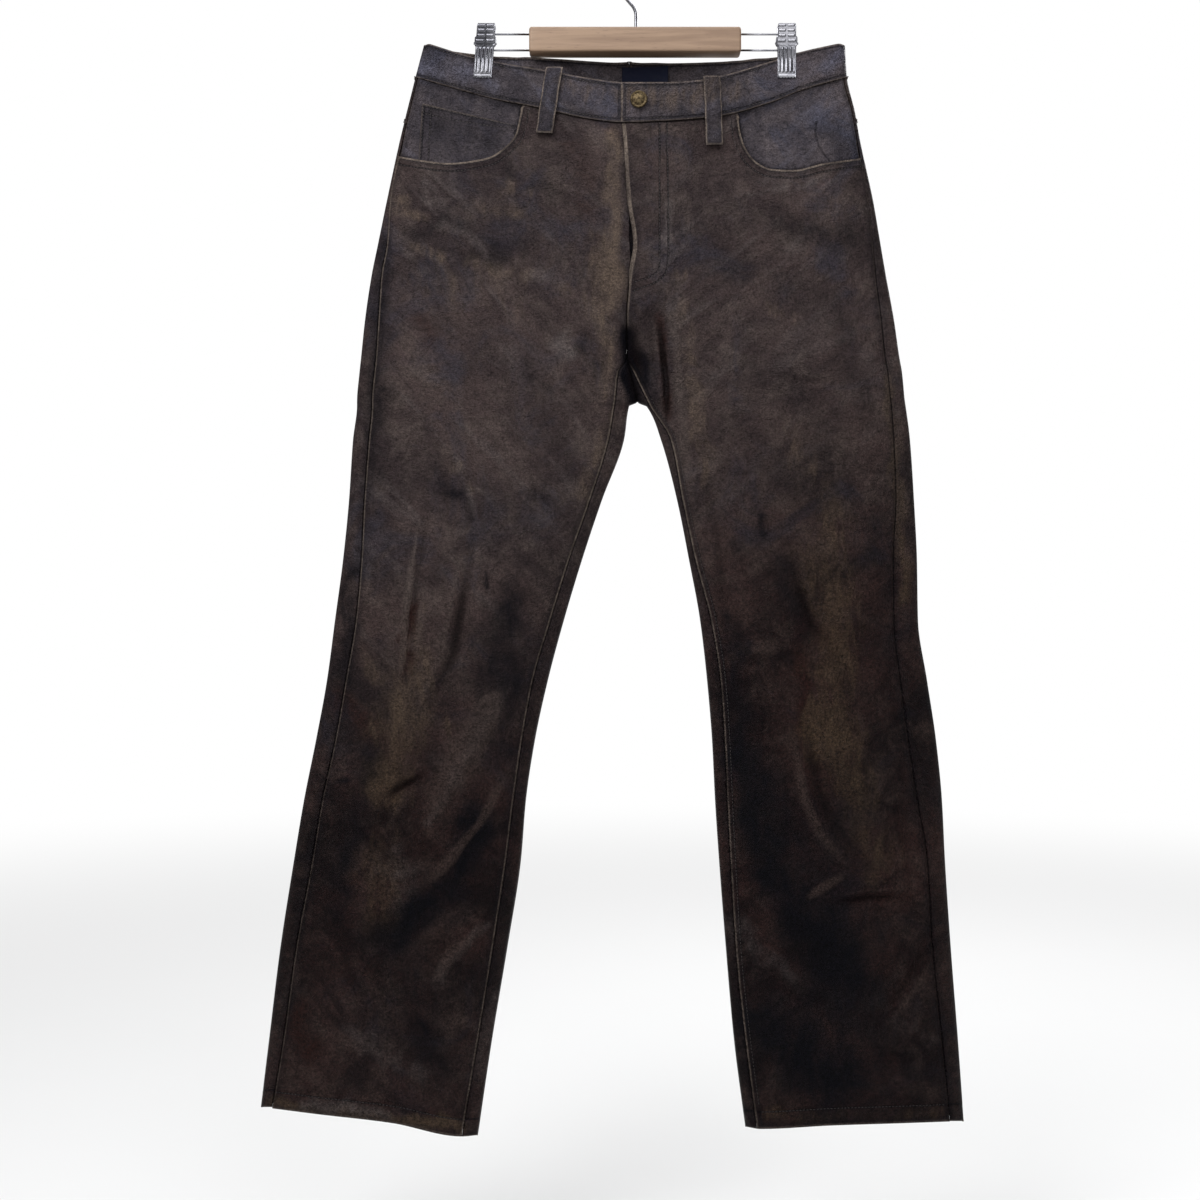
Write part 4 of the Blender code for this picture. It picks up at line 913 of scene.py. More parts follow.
def sew(name, node, slot, parts, thickness, turned, outside=False):
    """A sheet of cloth through the grids of its parts, joined where they meet. Each part is a
    grid and its facts."""
    faces, start = [], 0
    for grid, _ in parts:
        rows, columns = grid.shape[:2]
        faces.append(grid_faces(rows, columns, start))
        start += rows * columns
    faces = np.concatenate(faces)[:, ::-1 if turned else 1]
    made = make(name, node, slot, np.concatenate([grid.reshape(-1, 3) for grid, _ in parts]),
                faces.tolist())
    for key in parts[0][1]:
        values = np.concatenate([facts[key].reshape(-1) for _, facts in parts])
        layer = made.data.attributes.new(key, "FLOAT_COLOR", "POINT")
        layer.data.foreach_set("color", values.astype(np.float32))
    if len(parts) > 1:
        bm = bmesh.new()
        bm.from_mesh(made.data)
        bmesh.ops.remove_doubles(bm, verts=bm.verts, dist=0.00003)
        bm.to_mesh(made.data)
        bm.free()
    add_wall(made, thickness, outside)


def side_by_side(parts):
    """Several grids with their facts, lying edge to edge, as one wider grid with its facts."""
    grids, facts = zip(*parts)
    return np.concatenate(grids, axis=1), {
        key: np.concatenate([fact[key] for fact in facts], axis=1) for key in facts[0]}


def solid(name, node, slot, rings, turned=False):
    """A body through rings of points, closed by a face at each end."""
    count, sides = rings.shape[:2]
    faces = grid_faces(count, sides, around=True).tolist()
    faces.append(list(range(sides))[::-1])
    faces.append([(count - 1) * sides + i for i in range(sides)])
    make(name, node, slot, rings.reshape(-1, 3), [face[::-1] if turned else face for face in faces])


def tube(path, radius, sides):
    """Rings of points round a path in mm that stays in the hanger's plane: each ring stands
    square to the path, and the radius may change along it."""
    tangent = unit(np.gradient(path, axis=0))
    aside = np.array((0.0, 1.0, 0.0))
    across = np.cross(tangent, aside)[:, None]
    angle = (2 * math.pi * np.arange(sides) / sides)[None, :, None]
    radius = np.broadcast_to(radius, (len(path),))[:, None, None]
    return path[:, None] + radius * (np.cos(angle) * across + np.sin(angle) * aside)


def rounded_ends(path, radius, round_by):
    """A path with extra points at its ends, and radii that close them like a dome."""
    path = np.asarray(path, float)
    steps = np.sin(np.radians((0, 25, 50, 75, 90)))
    rise = round_by * np.sqrt(1 - (1 - steps) ** 2)[:, None]
    start = path[0] + unit(path[0] - path[1]) * rise
    end = path[-1] + unit(path[-1] - path[-2]) * rise
    dome = radius * np.clip(steps, 0.12, 1.0)
    points = np.concatenate((start[:-1], path, end[:-1][::-1]))
    return points, np.concatenate((dome[:-1], np.full(len(path), radius), dome[:-1][::-1]))


# ---------------------------------------------------------------- panels
UPPER_STEPS = (0.0, 0.7, 1.5, 2.5, 3.6, 5.0, 6.4, 7.4, 8.4, 9.6, 11.2, 13.5)
LEG_STEPS = (0.0, 0.7, 1.5, 2.6, 4.2, 6.4, 8.8, 11.2, 13.4, 15.0, 16.2, 17.0, 17.8, 19.0, 21.0)
FRONT_COLUMNS, UPPER_ROWS, LEG_ROWS = 92, 106, 246
FLY_COLUMNS, FLY_ROWS = 26, 44        # more of them where the fly's curved stitches run
WAIST_SHARE = 0.44         # this share of a front panel's columns starts at the waistband
WRAP_COLUMNS, BACK_COLUMNS, FLAP_COLUMNS = 14, 84, 12

LEG_LEVELS = spaced(LEG_ROWS, HEM_LEVEL - CROTCH_TURN, LEG_STEPS)[:, None]
# Places of the columns round the back, closer together towards the folds at the edges.
WRAP_SHARES = np.sin(0.5 * math.pi * np.arange(WRAP_COLUMNS) / WRAP_COLUMNS)
EVEN_SHARES = np.arange(BACK_COLUMNS + 1) / BACK_COLUMNS
BACK_SHARES = 0.45 * 0.5 * (1 - np.cos(math.pi * EVEN_SHARES)) + 0.55 * EVEN_SHARES
YOKE_SEAM = np.concatenate((np.full(WRAP_COLUMNS, YOKE_SIDE),
                            YOKE_SIDE + (YOKE_CENTRE - YOKE_SIDE) * BACK_SHARES))


def panel_heights(top, hem, extra=0):
    """Heights of a panel's rows, from its top edge to the crotch, then on to the hem, and how
    far each has come on the first stretch."""
    upper = spaced(UPPER_ROWS + extra, float(np.mean(CROTCH - top)), UPPER_STEPS)[:, None]
    return (np.concatenate((top + (CROTCH - top) * upper,
                            CROTCH_TURN + (hem - CROTCH_TURN) * LEG_LEVELS)),
            np.concatenate((upper, np.ones_like(LEG_LEVELS))))


def hem_relief(x, to_hem):
    """The turned-up hem stands out, with slanting waves between its stitch line and its fold."""
    waves = np.sin((x + 0.8 * to_hem) / 2.6 + 1.4 * np.sin(x / 9.0)) + 0.6 * np.sin(x / 6.1)
    return (0.9 * (1 - ramp(HEM_TURN - 1.5, HEM_TURN + 1.5, to_hem))
            + 0.5 * waves * bell(to_hem - 0.5 * HEM_TURN, 8.0))


def front_details(side, x, down):
    """A front panel's nearest edge, distance to a stitch line and relief: it rolls down into its
    seams, and stands up where the pocket edge and the hem are turned under."""
    from_inseam = x - section(side, "inseam", down)
    to_outseam = np.abs(section(side, "outseam", down) - x)
    to_pocket = to_scoop(side, x, down)
    to_band = down - seam_line(side, x, at=down)
    to_hem = hem_height(side, x) - down
    over_fly = (down < FORK - 12) & (side == "left")
    pale_fly = (1.0 - 0.5 * ramp(300.0, 330.0, down)) * (1 - ramp(358.0, 374.0, down))
    seam_pale = np.where(over_fly, pale_fly, 0.95 * ramp(FORK + 4, FORK + 20, down))
    edge = nearest_edge((np.abs(from_inseam), seam_pale, np.where(over_fly, 1.9, 1.8)),
                        (to_outseam, 0.55 if side == "right" else 0.1, 1.4),
                        (to_pocket, 0.9, 1.9), (to_band, 0.1, 1.0), (to_hem, 0.6, 2.0))
    lines = [np.abs(to_hem - HEM_TURN)]
    paths = [scoop_path(side, SCOOP_ROW), scoop_path(side, 1.8)]
    if side == "left":
        lines.append(np.where(down > FORK, np.abs(from_inseam - INSEAM_ROW), FAR))
        paths += [smooth_path(path, 6.0) for path in FLY_STITCHES]
    lines += [along_path(path, x, down)[0] for path in paths]
    relief = (hem_relief(x, to_hem) - 1.3 * bell(edge[0], 1.4) - 1.1 * bell(to_band, 2.2)
              + 0.8 * (1 - ramp(7.0, 10.5, to_pocket)) + 0.7 * bell(to_pocket - 2.4, 1.5))
    return edge, nearest(lines), relief


def front_panel(side):
    """A front panel from the fly and inseam out to the outseam, as a grid of points: columns
    start along the waistband and round the pocket's scoop, and even out on the way down. The
    right fly edge gapes near its foot, and the left one laps over it."""
    way = sideways(side)
    even = spaced(FRONT_COLUMNS, 220.0)
    if side == "left":
        even = np.sort(np.concatenate((even, np.linspace(0.031, 0.21, FLY_COLUMNS))))
    waist_x = FLY_X + (SCOOPS[side][0][0] - FLY_X) * even / WAIST_SHARE
    round_share = np.clip((even - WAIST_SHARE) / (1 - WAIST_SHARE), 0, 1)
    top_x, top_down = np.where(even <= WAIST_SHARE, (waist_x, seam_line(side, waist_x) + SEAM),
                               on_curve(SCOOPS[side], round_share))

    def ends(down):
        recess = SEAM + 5.0 * bell(down - 284.0, 21.0)
        if side == "left":
            recess = -1.6 * (1 - ramp(300.0, FORK_TOP, down)) - 0.3 * (1 - ramp(FORK - 4, FORK + 6, down))
        return (section(side, "inseam", down) + recess * way,
                section(side, "outseam", down) - SEAM * way)

    start, end = ends(top_down)
    top_share = np.clip((top_x - start) / (end - start), 0.0, 1.0)
    start, end = ends(HEM_LEVEL)
    hem = hem_height(side, start + (end - start) * even)
    down, progress = panel_heights(top_down, hem, FLY_ROWS if side == "left" else 0)
    start, end = ends(down)
    x = start + (end - start) * (top_share + (even - top_share) * progress)
    edge, to_stitch, relief = front_details(side, x, down)
    return on_cloth(side, "front", x, down, relief), leather_facts("front", x, down, edge, to_stitch)


def round_the_back(side, down, top_seam, bottom_seam, hemmed):
    """A piece that goes round the outer fold: its wrap lies on the front's depth and the rest on
    the back's, and both roll down into the seams at their edges."""
    way = sideways(side)
    parts = []
    for face, columns in (("front", slice(WRAP_COLUMNS)), ("back", slice(WRAP_COLUMNS, None))):
        height = down[:, columns]
        outer, outseam = section(side, "outer", height), section(side, "outseam", height)
        to_side = to_middle = FAR
        if face == "front":
            x = outseam + SEAM * way + (outer - outseam - SEAM * way) * WRAP_SHARES
            to_side = np.abs(x - outseam)
        else:
            inner = section(side, "inner", height)
            x = outer + (inner + 0.5 * SEAM * way * (height <= CROTCH) - outer) * BACK_SHARES
            to_middle = np.where(height <= CROTCH, np.abs(x - inner), FAR)
        to_top = np.abs(height - top_seam[columns])
        to_bottom = np.abs(bottom_seam[columns] - height)
        edge = nearest_edge((to_side, 0.0, 1.0), (to_middle, 0.4, 1.2), (to_top, 0.35, 1.2),
                            (to_bottom, 0.6 if hemmed else 0.2, 1.4))
        relief = -1.3 * bell(edge[0], 1.4)
        lines = [to_side + 4.0 * (1 - ramp(4.0, 11.0, np.abs(outer - outseam)))]
        if hemmed:
            relief = relief + hem_relief(x, to_bottom) + 0.5 * (1 - ramp(9.0, 12.0, to_top))
            lines.append(np.abs(to_bottom - HEM_TURN))
            lines += [np.abs(to - row) for to in (to_top, to_middle) for row in SEAM_ROWS]
        parts.append((on_cloth(side, face, x, height, relief),
                      leather_facts(face, x, height, edge, nearest(lines))))
    return side_by_side(parts)


def back_panel(side):
    """A back panel below the yoke and its flap, which comes round the inner fold to the inseam.
    The two are joined below the crotch and open above it, where the seat seam runs."""
    way = sideways(side)
    outer, inner = section(side, "outer", HEM_LEVEL), section(side, "inner", HEM_LEVEL)
    reach = np.concatenate((np.zeros(WRAP_COLUMNS), BACK_SHARES))
    hem = hem_height(side, outer + (inner - outer) * reach)
    down, _ = panel_heights(YOKE_SEAM + SEAM, hem)
    main = round_the_back(side, down, YOKE_SEAM + SEAM, hem, True)

    share = np.linspace(0, 1, FLAP_COLUMNS + 1)
    hem = hem_height(side, inner + (section(side, "inseam", HEM_LEVEL) - inner) * share)
    fork = np.linspace(FORK, CROTCH, 16)[:, None] + 0 * share
    down = np.concatenate((fork, CROTCH_TURN + (hem - CROTCH_TURN) * LEG_LEVELS))
    inseam = section(side, "inseam", down)
    start = section(side, "inner", down) + 0.5 * SEAM * way * (down <= CROTCH)
    x = start + np.where(down <= FORK, 0.0, inseam - SEAM * way - start) * share
    to_seam, to_hem = np.abs(x - inseam), hem_height(side, x) - down
    edge = nearest_edge((to_seam, 0.0, 1.0), (to_hem, 0.6, 1.4))
    flap = on_cloth(side, "front", x, down, hem_relief(x, to_hem) - 1.1 * bell(edge[0], 1.4))
    to_stitch = np.minimum(np.abs(to_hem - HEM_TURN), to_seam)
    return main, (flap, leather_facts("front", x, down, edge, to_stitch))


def yoke(side):
    """The yoke between the waistband and the back panel, all the way round the outer fold."""
    way = sideways(side)
    top = np.concatenate((np.full(WRAP_COLUMNS, waist_line("front_seam", way)),
                          waist_line("back_seam", way * (1 - BACK_SHARES)))) + SEAM
    down = top + (YOKE_SEAM - top) * spaced(26, 50.0)[:, None]
    return round_the_back(side, down, top, YOKE_SEAM, False)


# ---------------------------------------------------------------- waistband, facings, patches
def band_proud(x):
    """How far the waistband stands out from the panels, except under a clip."""
    return BAND_PROUD * (1 - bell(np.abs(x) - CLIP_X, 13.0))


def band_places(side, face, share, level):
    """x, down and half-depth of the waistband: a share of the way from the middle to the corner
    and a level from its top edge (0) to its seam (1)."""
    way = sideways(side)
    lap = side == "left" and face == "front"
    outer = section(side, "outer", CORNER_TOP + (CORNER_SEAM - CORNER_TOP) * level)
    middle = (FLY_X if face == "front" else CENTRE_X) + 0.5 * SEAM * way - 1.6 * lap
    x = middle + (outer - middle) * share
    top = waist_line(face + "_top", share * way) + 3.0 * bell((1 - share) * BAND_REACH, 3.5)
    down = top + (waist_line(face + "_seam", share * way) - top) * level
    return x, down, waist_depth(x, outer, BOW[face]) + lap * OVERLAP * bell(x - FLY_X, OVERLAP_REACH)


def waistband(side):
    """Half the waistband, from the fly round the corner to the centre back. Its edges roll
    over."""
    level = spaced(24, BAND_HIGH, BAND_STEPS)[:, None]
    corner = np.array((0.0, 0.8, 1.8, 3.0, 4.5, 6.0)) / BAND_REACH
    shares = {"front": np.concatenate((spaced(110, BAND_REACH)[:-6], 1 - corner[:0:-1])),
              "back": 1 - np.concatenate((corner, spaced(104, BAND_REACH)[6:]))}
    parts = []
    for face, share in shares.items():
        x, down, depth = band_places(side, face, share, level)
        from_top, from_seam, from_end = level * BAND_HIGH, (1 - level) * BAND_HIGH, share * BAND_REACH
        rolled = -1.2 * bell(from_top, 1.2) - 0.6 * bell(from_seam, 0.9) - bell(from_end, 1.2)
        creased = 0.35 * np.sin(x / 7.0 + 2 * np.sin(x / 19.0)) * (1 - bell(np.abs(x) - CLIP_X, 13.0))
        depth = depth + (band_proud(x) + rolled + creased) * ramp(0.0, 8.0, BAND_REACH - from_end)
        pale_end = 0.75 if side == "left" and face == "front" else 0.3
        edge = nearest_edge((from_top, 0.6, 1.3), (from_seam, 0.5, 1.2), (from_end, pale_end, 2.0))
        lines = [np.abs(from_top - BAND_ROW), np.abs(from_seam - BAND_ROW)]
        if face == "front":
            lines.append(np.abs(from_end - END_ROW))
        parts.append((placed(x, down, np.maximum(depth, 0.02), face),
                      leather_facts(face, x, down, edge, nearest(lines))))
    return side_by_side(parts)


def facing_sunk(side, x, down):
    """How far a hip facing lies below the front panel's outer face: least away from the pocket's
    edge."""
    return HIDE + UNDER - 0.9 * ramp(4.0, 30.0, to_scoop(side, x, down))


def pocket_facing(side):
    """The hip piece seen above a pocket's edge, one layer lower than the front panel, from the
    waistband's seam down under the scoop. The left one has a short seam near the outseam."""
    way = sideways(side)
    share = spaced(130, 130.0)
    level = spaced(80, 75.0)[:, None]
    low_x, low_down = on_curve(SCOOPS[side], share)
    low_x = low_x - way * 10.0 * (1 - share) ** 2
    low_down = np.maximum(low_down, low_down[0] + 14.0 * (share < 0.1)) + 10.0
    high_x = low_x[0] + (section(side, "outseam", CORNER_SEAM) - low_x[0]) * share
    high_down = seam_line(side, high_x) + SEAM
    down = high_down + (low_down - high_down) * level
    x = high_x + (low_x - high_x) * level
    limit = section(side, "outseam", down[:, -1]) - way * 0.4
    x = x + (limit - x[:, -1])[:, None] * share ** 2
    edge = nearest_edge((np.abs(section(side, "outseam", down) - x), 0.3, 1.2),
                        (np.abs(down - seam_line(side, x)), 0.1, 1.0))
    to_stitch = FAR
    if side == "left":
        to_stitch, _, _ = along_path(smooth_path(FACING_SEAM, 3.0), x, down)
    grid = moved(on_cloth(side, "front", x, down), -facing_sunk(side, x, down), -way)
    # Painted shadow: the facing darkens just under the pocket's edge.
    shade = 0.55 * (1 - ramp(0.0, 7.0, to_scoop(side, x, down)))
    return grid, leather_facts("front", x, down, edge, to_stitch, shade)


def coin_places():
    """x and down of the coin pocket's points, between its sloping mouth and the scoop, and their
    distances from its mouth and its side."""
    share = spaced(44, COIN_WIDTH)
    level = spaced(30, COIN_HEIGHT)[:, None]
    (left_x, left_down), (right_x, right_down) = COIN_CORNERS
    mouth_x = left_x + (right_x - left_x) * share
    mouth_down = left_down + (right_down - left_down) * share
    edge_x, edge_down = on_curve(SCOOPS["right"], 0.87 - 0.66 * share)
    x = mouth_x + (edge_x + 1.0 - mouth_x) * level
    down = mouth_down + (edge_down + 3.0 - mouth_down) * level
    return x, down, level * COIN_HEIGHT + 0 * x, share * COIN_WIDTH + 0 * x


def coin_pocket():
    """The small patch on the right facing. Its mouth is turned in and double-stitched."""
    x, down, to_mouth, to_side = coin_places()
    edge = nearest_edge((to_mouth, 0.4, 1.4), (to_side, 0.35, 1.2))
    lines = [np.abs(to - row) for to in (to_mouth, to_side) for row in COIN_ROWS]
    lift = 0.25 - 0.7 * bell(edge[0], 1.2) - facing_sunk("right", x, down)
    grid = moved(on_cloth("right", "front", x, down), lift, -1.0)
    return grid, leather_facts("front", x, down, edge, nearest(lines), 0.25)


def fly_shield():
    """The strip behind the fly that closes the gap between the two fronts."""
    down = np.linspace(168.0, 334.0, 70)[:, None]
    x = section("right", "inseam", down) + np.linspace(-16.0, 20.0, 24)
    grid = moved(on_cloth("right", "front", x, down), -(HIDE + UNDER + 0.4), -1.0)
    # Painted shade: the strip's tone is set dark, for the gap behind the fly.
    return grid, leather_facts("front", x, down, (FAR, 0.0, 1.0), FAR, 0.85)


def patch_places(side):
    """x and down of a back pocket's points, with tapering sides and a shallow point at the foot,
    and their shares across and down it."""
    share = spaced(64, 140.0)
    level = spaced(66, 150.0)[:, None]
    width = POCKET_TOP_WIDTH + (POCKET_FOOT_WIDTH - POCKET_TOP_WIDTH) * level
    x = CENTRE_X + sideways(side) * (POCKET_MIDDLE + (share - 0.5) * width)
    point = POCKET_POINT * (1 - np.abs(2 * share - 1))
    down = POCKET_TOP - POCKET_SLOPE * share + level * (POCKET_SIDE + point)
    return x, down, share + 0 * x, level + 0 * x


def back_pocket(side):
    """A patch pocket on the seat, turned in and double-stitched all round."""
    x, down, share, level = patch_places(side)
    to_side = np.minimum(share, 1 - share) * POCKET_WIDTH
    to_top, to_foot = level * POCKET_HEIGHT, (1 - level) * POCKET_HEIGHT
    edge = nearest_edge((to_side, 0.45, 1.5), (to_top, 0.8, 2.2), (to_foot, 0.45, 1.5))
    rim = np.minimum(to_side, to_foot)
    lines = [np.abs(rim - row) for row in POCKET_ROWS] + [np.abs(to_top - MOUTH_ROW)]
    full = 2.2 * np.sin(math.pi * share) * np.sin(math.pi * np.clip(level * 1.1, 0, 1)) ** 2
    grid = moved(on_cloth(side, "back", x, down), 0.9 + full - 0.7 * bell(edge[0], 1.3), sideways(side))
    worn = 0.35 * bell(to_foot, 26.0) + 0.3 * bell(to_top, 12.0)
    return grid, leather_facts("back", x, down, edge, nearest(lines), tan=worn)


def loop_lift(level):
    """A belt loop is caught at both ends and lifted between them."""
    return 1.1 + 1.5 * np.sin(math.pi * np.clip(level, 0, 1)) ** 0.8


def belt_loop(name):
    """A folded strap over the waistband, its edges rolled down."""
    side, face, top_x, top_down, foot_x, foot_down = LOOPS[name]
    length = foot_down - top_down
    level = spaced(46, length, BAND_STEPS)[:, None]
    across = spaced(20, LOOP_WIDTH, (0.0, 0.4, 0.9, 1.5, 2.2)) - 0.5
    x = top_x + (foot_x - top_x) * level + across * LOOP_WIDTH
    down = top_down + length * level + 0 * x
    to_side = (0.5 - np.abs(across)) * LOOP_WIDTH
    to_end = np.minimum(level, 1 - level) * length
    lift = (loop_lift(level) + 1.9 * bell(1 - level, 0.07) - 0.7 * bell(to_side, 0.9)
            - 0.7 * bell(to_end, 1.0) + 0.35 * np.sin(down / 4.1 + x / 3.0) * np.sin(math.pi * level))
    grid = moved(on_cloth(side, face, x, down), lift, -1.0 if face == "front" else 1.0)
    edge = nearest_edge((to_side, 0.9, 1.3), (to_end, 0.6, 1.3))
    return grid, leather_facts(face, x, down, edge, FAR, 0.15 * bell(across, 0.35))


def bare_label():
    """The bare label on the inner face of the back waistband, slightly slack."""
    x = np.linspace(*LABEL_X, 40)
    down = np.linspace(*LABEL_DOWN, 24)[:, None] + 0 * x
    slack = 0.4 * np.sin(x / 5.0) + 0.3 * np.sin(down / 4.0)
    outer = section("left", "outer", CORNER_TOP)
    depth = waist_depth(x, outer, BOW["back"]) - BAND_THICKNESS - 0.5 - slack
    return placed(x + 0 * down, down, depth, "back"), {"lines": np.zeros(down.shape + (4,))}


# ---------------------------------------------------------------- stitches
STITCH_LENGTH, STITCH_GAP = 2.5, 0.9
THREAD = 0.34              # the thread's radius


def stitch_run(place, across, down, turn, lift=0.1):
    """Centres, directions and normals of the stitches along a line on a piece. `place` gives
    points from two numbers, and its differences give the normal."""
    across, down = np.broadcast_arrays(np.asarray(across, float), np.asarray(down, float))
    points = place(across, down)
    length = lengths_to(points)
    count = max(1, int(length[-1] / (STITCH_LENGTH + STITCH_GAP)))
    at = (np.arange(count) + 0.5) * length[-1] / count
    u, v = np.interp(at, length, across), np.interp(at, length, down)
    along = unit(np.stack([np.interp(at + 0.5, length, part) - np.interp(at - 0.5, length, part)
                           for part in points.T], axis=-1))
    normal = unit(np.cross(place(u + 1, v) - place(u - 1, v), place(u, v + 1) - place(u, v - 1)) * turn)
    return place(u, v) + normal * lift, along, normal


def stitches(name, slot, runs):
    """All the stitches of some runs as one mesh: each is a short spindle of four sides whose
    ends dip into the leather."""
    centre, along, normal = (np.concatenate(part)[:, None] for part in zip(*runs))
    angle = 0.5 * math.pi * (np.arange(4) + 0.5)[:, None]
    ring = np.cos(angle) * np.cross(along, normal) + np.sin(angle) * normal
    spindle = ((-0.6, 0.85, -0.1), (0.0, 1.0, 0.1), (0.6, 0.85, -0.1), (-1.0, 0.0, -0.75),
               (1.0, 0.0, -0.75))
    rings = [centre + along * (0.5 * STITCH_LENGTH * ahead) + (normal * dip + ring * radius) * THREAD
             for ahead, radius, dip in spindle]
    points = np.concatenate((*rings[:3], rings[3][:, :1], rings[4][:, :1]), axis=1)
    sides, after = np.arange(4), (np.arange(4) + 1) % 4
    quads = np.concatenate([np.stack((r + sides, r + 4 + sides, r + 4 + after, r + after), axis=-1)
                            for r in (0, 4)])
    fans = np.concatenate((np.stack((np.full(4, 12), sides, after), axis=-1),
                           np.stack((np.full(4, 13), 8 + after, 8 + sides), axis=-1)))
    first = (np.arange(len(centre)) * 14)[:, None, None]
    faces = (quads + first).reshape(-1, 4).tolist() + (fans + first).reshape(-1, 3).tolist()
    make(name, None, slot, points.reshape(-1, 3), faces, "thread")


def hem_stitches(place, side, x, turn, lift):
    """The hem's row at places across a leg."""
    return stitch_run(place, x, hem_height(side, x) - HEM_TURN, turn, lift)


def front_stitches(side):
    """The scoop's row, the hem, and on the left the fly's two rows and the inseam's, on the right
    the coin pocket's: two rows below its mouth and two down its side."""
    def place(x, down):
        return on_cloth(side, "front", x, down, front_details(side, x, down)[2])

    def on_coin(x, down):
        lift = FACING_THICKNESS + 0.25 - facing_sunk("right", x, down)
        return on_cloth("right", "front", x, down, lift)

    ends = section(side, "inseam", HEM_LEVEL), section(side, "outseam", HEM_LEVEL)
    runs = [stitch_run(place, *scoop_path(side, SCOOP_ROW).T, 1.0),
            hem_stitches(place, side, np.linspace(*ends, 40)[1:-1], 1.0, 0.1)]
    if side == "left":
        runs += [stitch_run(place, *smooth_path(path, 3.0).T, 1.0) for path in FLY_STITCHES]
        down = np.linspace(FORK + 40, HEM_LEVEL - 16, 120)
        runs.append(stitch_run(place, section(side, "inseam", down) + INSEAM_ROW, down, 1.0))
        return runs
    x, down, to_mouth, to_side = coin_places()
    for row in COIN_ROWS:
        at, beside = (np.argmin(np.abs(to - row)) for to in (to_mouth[:, 0], to_side[0]))
        runs.append(stitch_run(on_coin, x[at, 3:-1], down[at, 3:-1], 1.0))
        runs.append(stitch_run(on_coin, x[3:-4, beside], down[3:-4, beside], 1.0))
    return runs


def back_stitches(side):
    """The hem, two rows below the yoke seam and on the left two along the seat seam, then two
    rows round the patch pocket and one below its mouth."""
    def place(x, down):
        return on_cloth(side, "back", x, down, 0.5)

    def on_patch(x, down):
        return on_cloth(side, "back", x, down, 1.2 + PATCH_THICKNESS)

    ends = section(side, "outer", HEM_LEVEL), section(side, "inner", HEM_LEVEL)
    runs = [hem_stitches(place, side, np.linspace(*ends, 40)[2:-2], -1.0, 0.5)]
    share = np.linspace(0.06, 0.985, 40)
    for drop in SEAM_ROWS:
        down = YOKE_SIDE + (YOKE_CENTRE - YOKE_SIDE) * share + drop
        outer = section(side, "outer", down)
        x = outer + (section(side, "inner", down) - outer) * share
        runs.append(stitch_run(place, x, down, -1.0))
    down = np.linspace(YOKE_CENTRE + 12, CROTCH - 30, 60)
    for inset in SEAM_ROWS if side == "left" else ():
        runs.append(stitch_run(place, section(side, "inner", down) + inset, down, -1.0))
    x, down, share, level = patch_places(side)
    for inset in POCKET_ROWS:
        near = np.argmin(np.abs(share[0] * POCKET_WIDTH - inset))
        foot = np.argmin(np.abs((1 - level[:, 0]) * POCKET_HEIGHT - inset))
        border = [np.concatenate((part[4:foot, near], part[foot, near:-near],
                                  part[4:foot, -near - 1][::-1])) for part in (x, down)]
        runs.append(stitch_run(on_patch, *border, -1.0, 0.9))
    mouth = np.argmin(np.abs(level[:, 0] * POCKET_HEIGHT - MOUTH_ROW))
    runs.append(stitch_run(on_patch, x[mouth, 2:-2], down[mouth, 2:-2], -1.0, 0.6))
    return runs


def band_stitches():
    """One row along each edge of the waistband and one across each front end."""
    runs = []
    for side in SIDES:
        for face in ("front", "back"):
            def place(along, below):
                x, down, depth = band_places(side, face, along / BAND_REACH, below / BAND_HIGH)
                return placed(x, down, depth + band_proud(x), face)

            turn = sideways(side) * (1.0 if face == "front" else -1.0)
            rows = (BAND_ROW, BAND_HIGH - BAND_ROW)
            along = np.linspace(END_ROW, BAND_REACH - 9.0, 90)
            runs += [stitch_run(place, along, row, turn) for row in rows]
            if face == "front":
                runs.append(stitch_run(place, END_ROW, np.linspace(*rows, 20), turn))
    return runs


def loop_stitches():
    """One row along each edge of a belt loop and one across its foot."""
    runs = []
    for side, face, top_x, top_down, foot_x, foot_down in LOOPS.values():
        length = foot_down - top_down

        def place(across, below):
            x = top_x + (foot_x - top_x) * below / length + across
            lift = loop_lift(below / length) + LOOP_THICKNESS
            return on_cloth(side, face, x, top_down + below, lift)

        turn = 1.0 if face == "front" else -1.0
        inset = 0.5 * LOOP_WIDTH - 2.4
        below = np.linspace(3.0, length - 2.0, 24)
        runs += [stitch_run(place, across, below, turn) for across in (-inset, inset)]
        runs.append(stitch_run(place, np.linspace(-5.0, 5.0, 6), length - 4.0, turn))
    return runs


# ---------------------------------------------------------------- the hanger
HOOK_WIRE, HOOK_RADIUS = 3.2, 22.0
STEM_FOOT, STEM_TOP, STEM_BEND = 73.0, 60.0, 16.0
BAR_LOW = np.array((-106.5, -11.0, -98.8))
BAR_HIGH = np.array((104.5, 11.0, -74.0))
BAR_CORNER = 2.6
ARM_WIRE = 2.0
ARM_HIGH, ARM_LOW = -78.4, -94.4
CLIP_WIDTH, CLIP_PLATE = 18.0, 1.2
CLIP_TOP, CLIP_BOTTOM = 67.0, 121.0
CLIP_LEANS = (("right", -1.0, 0.07), ("left", 1.0, 0.0))
PIN_PLACE = (3.4, -86.4)


def in_plane(x, z):
    """Points in the hanger's plane."""
    return np.stack((x, 0 * x, z), axis=-1)


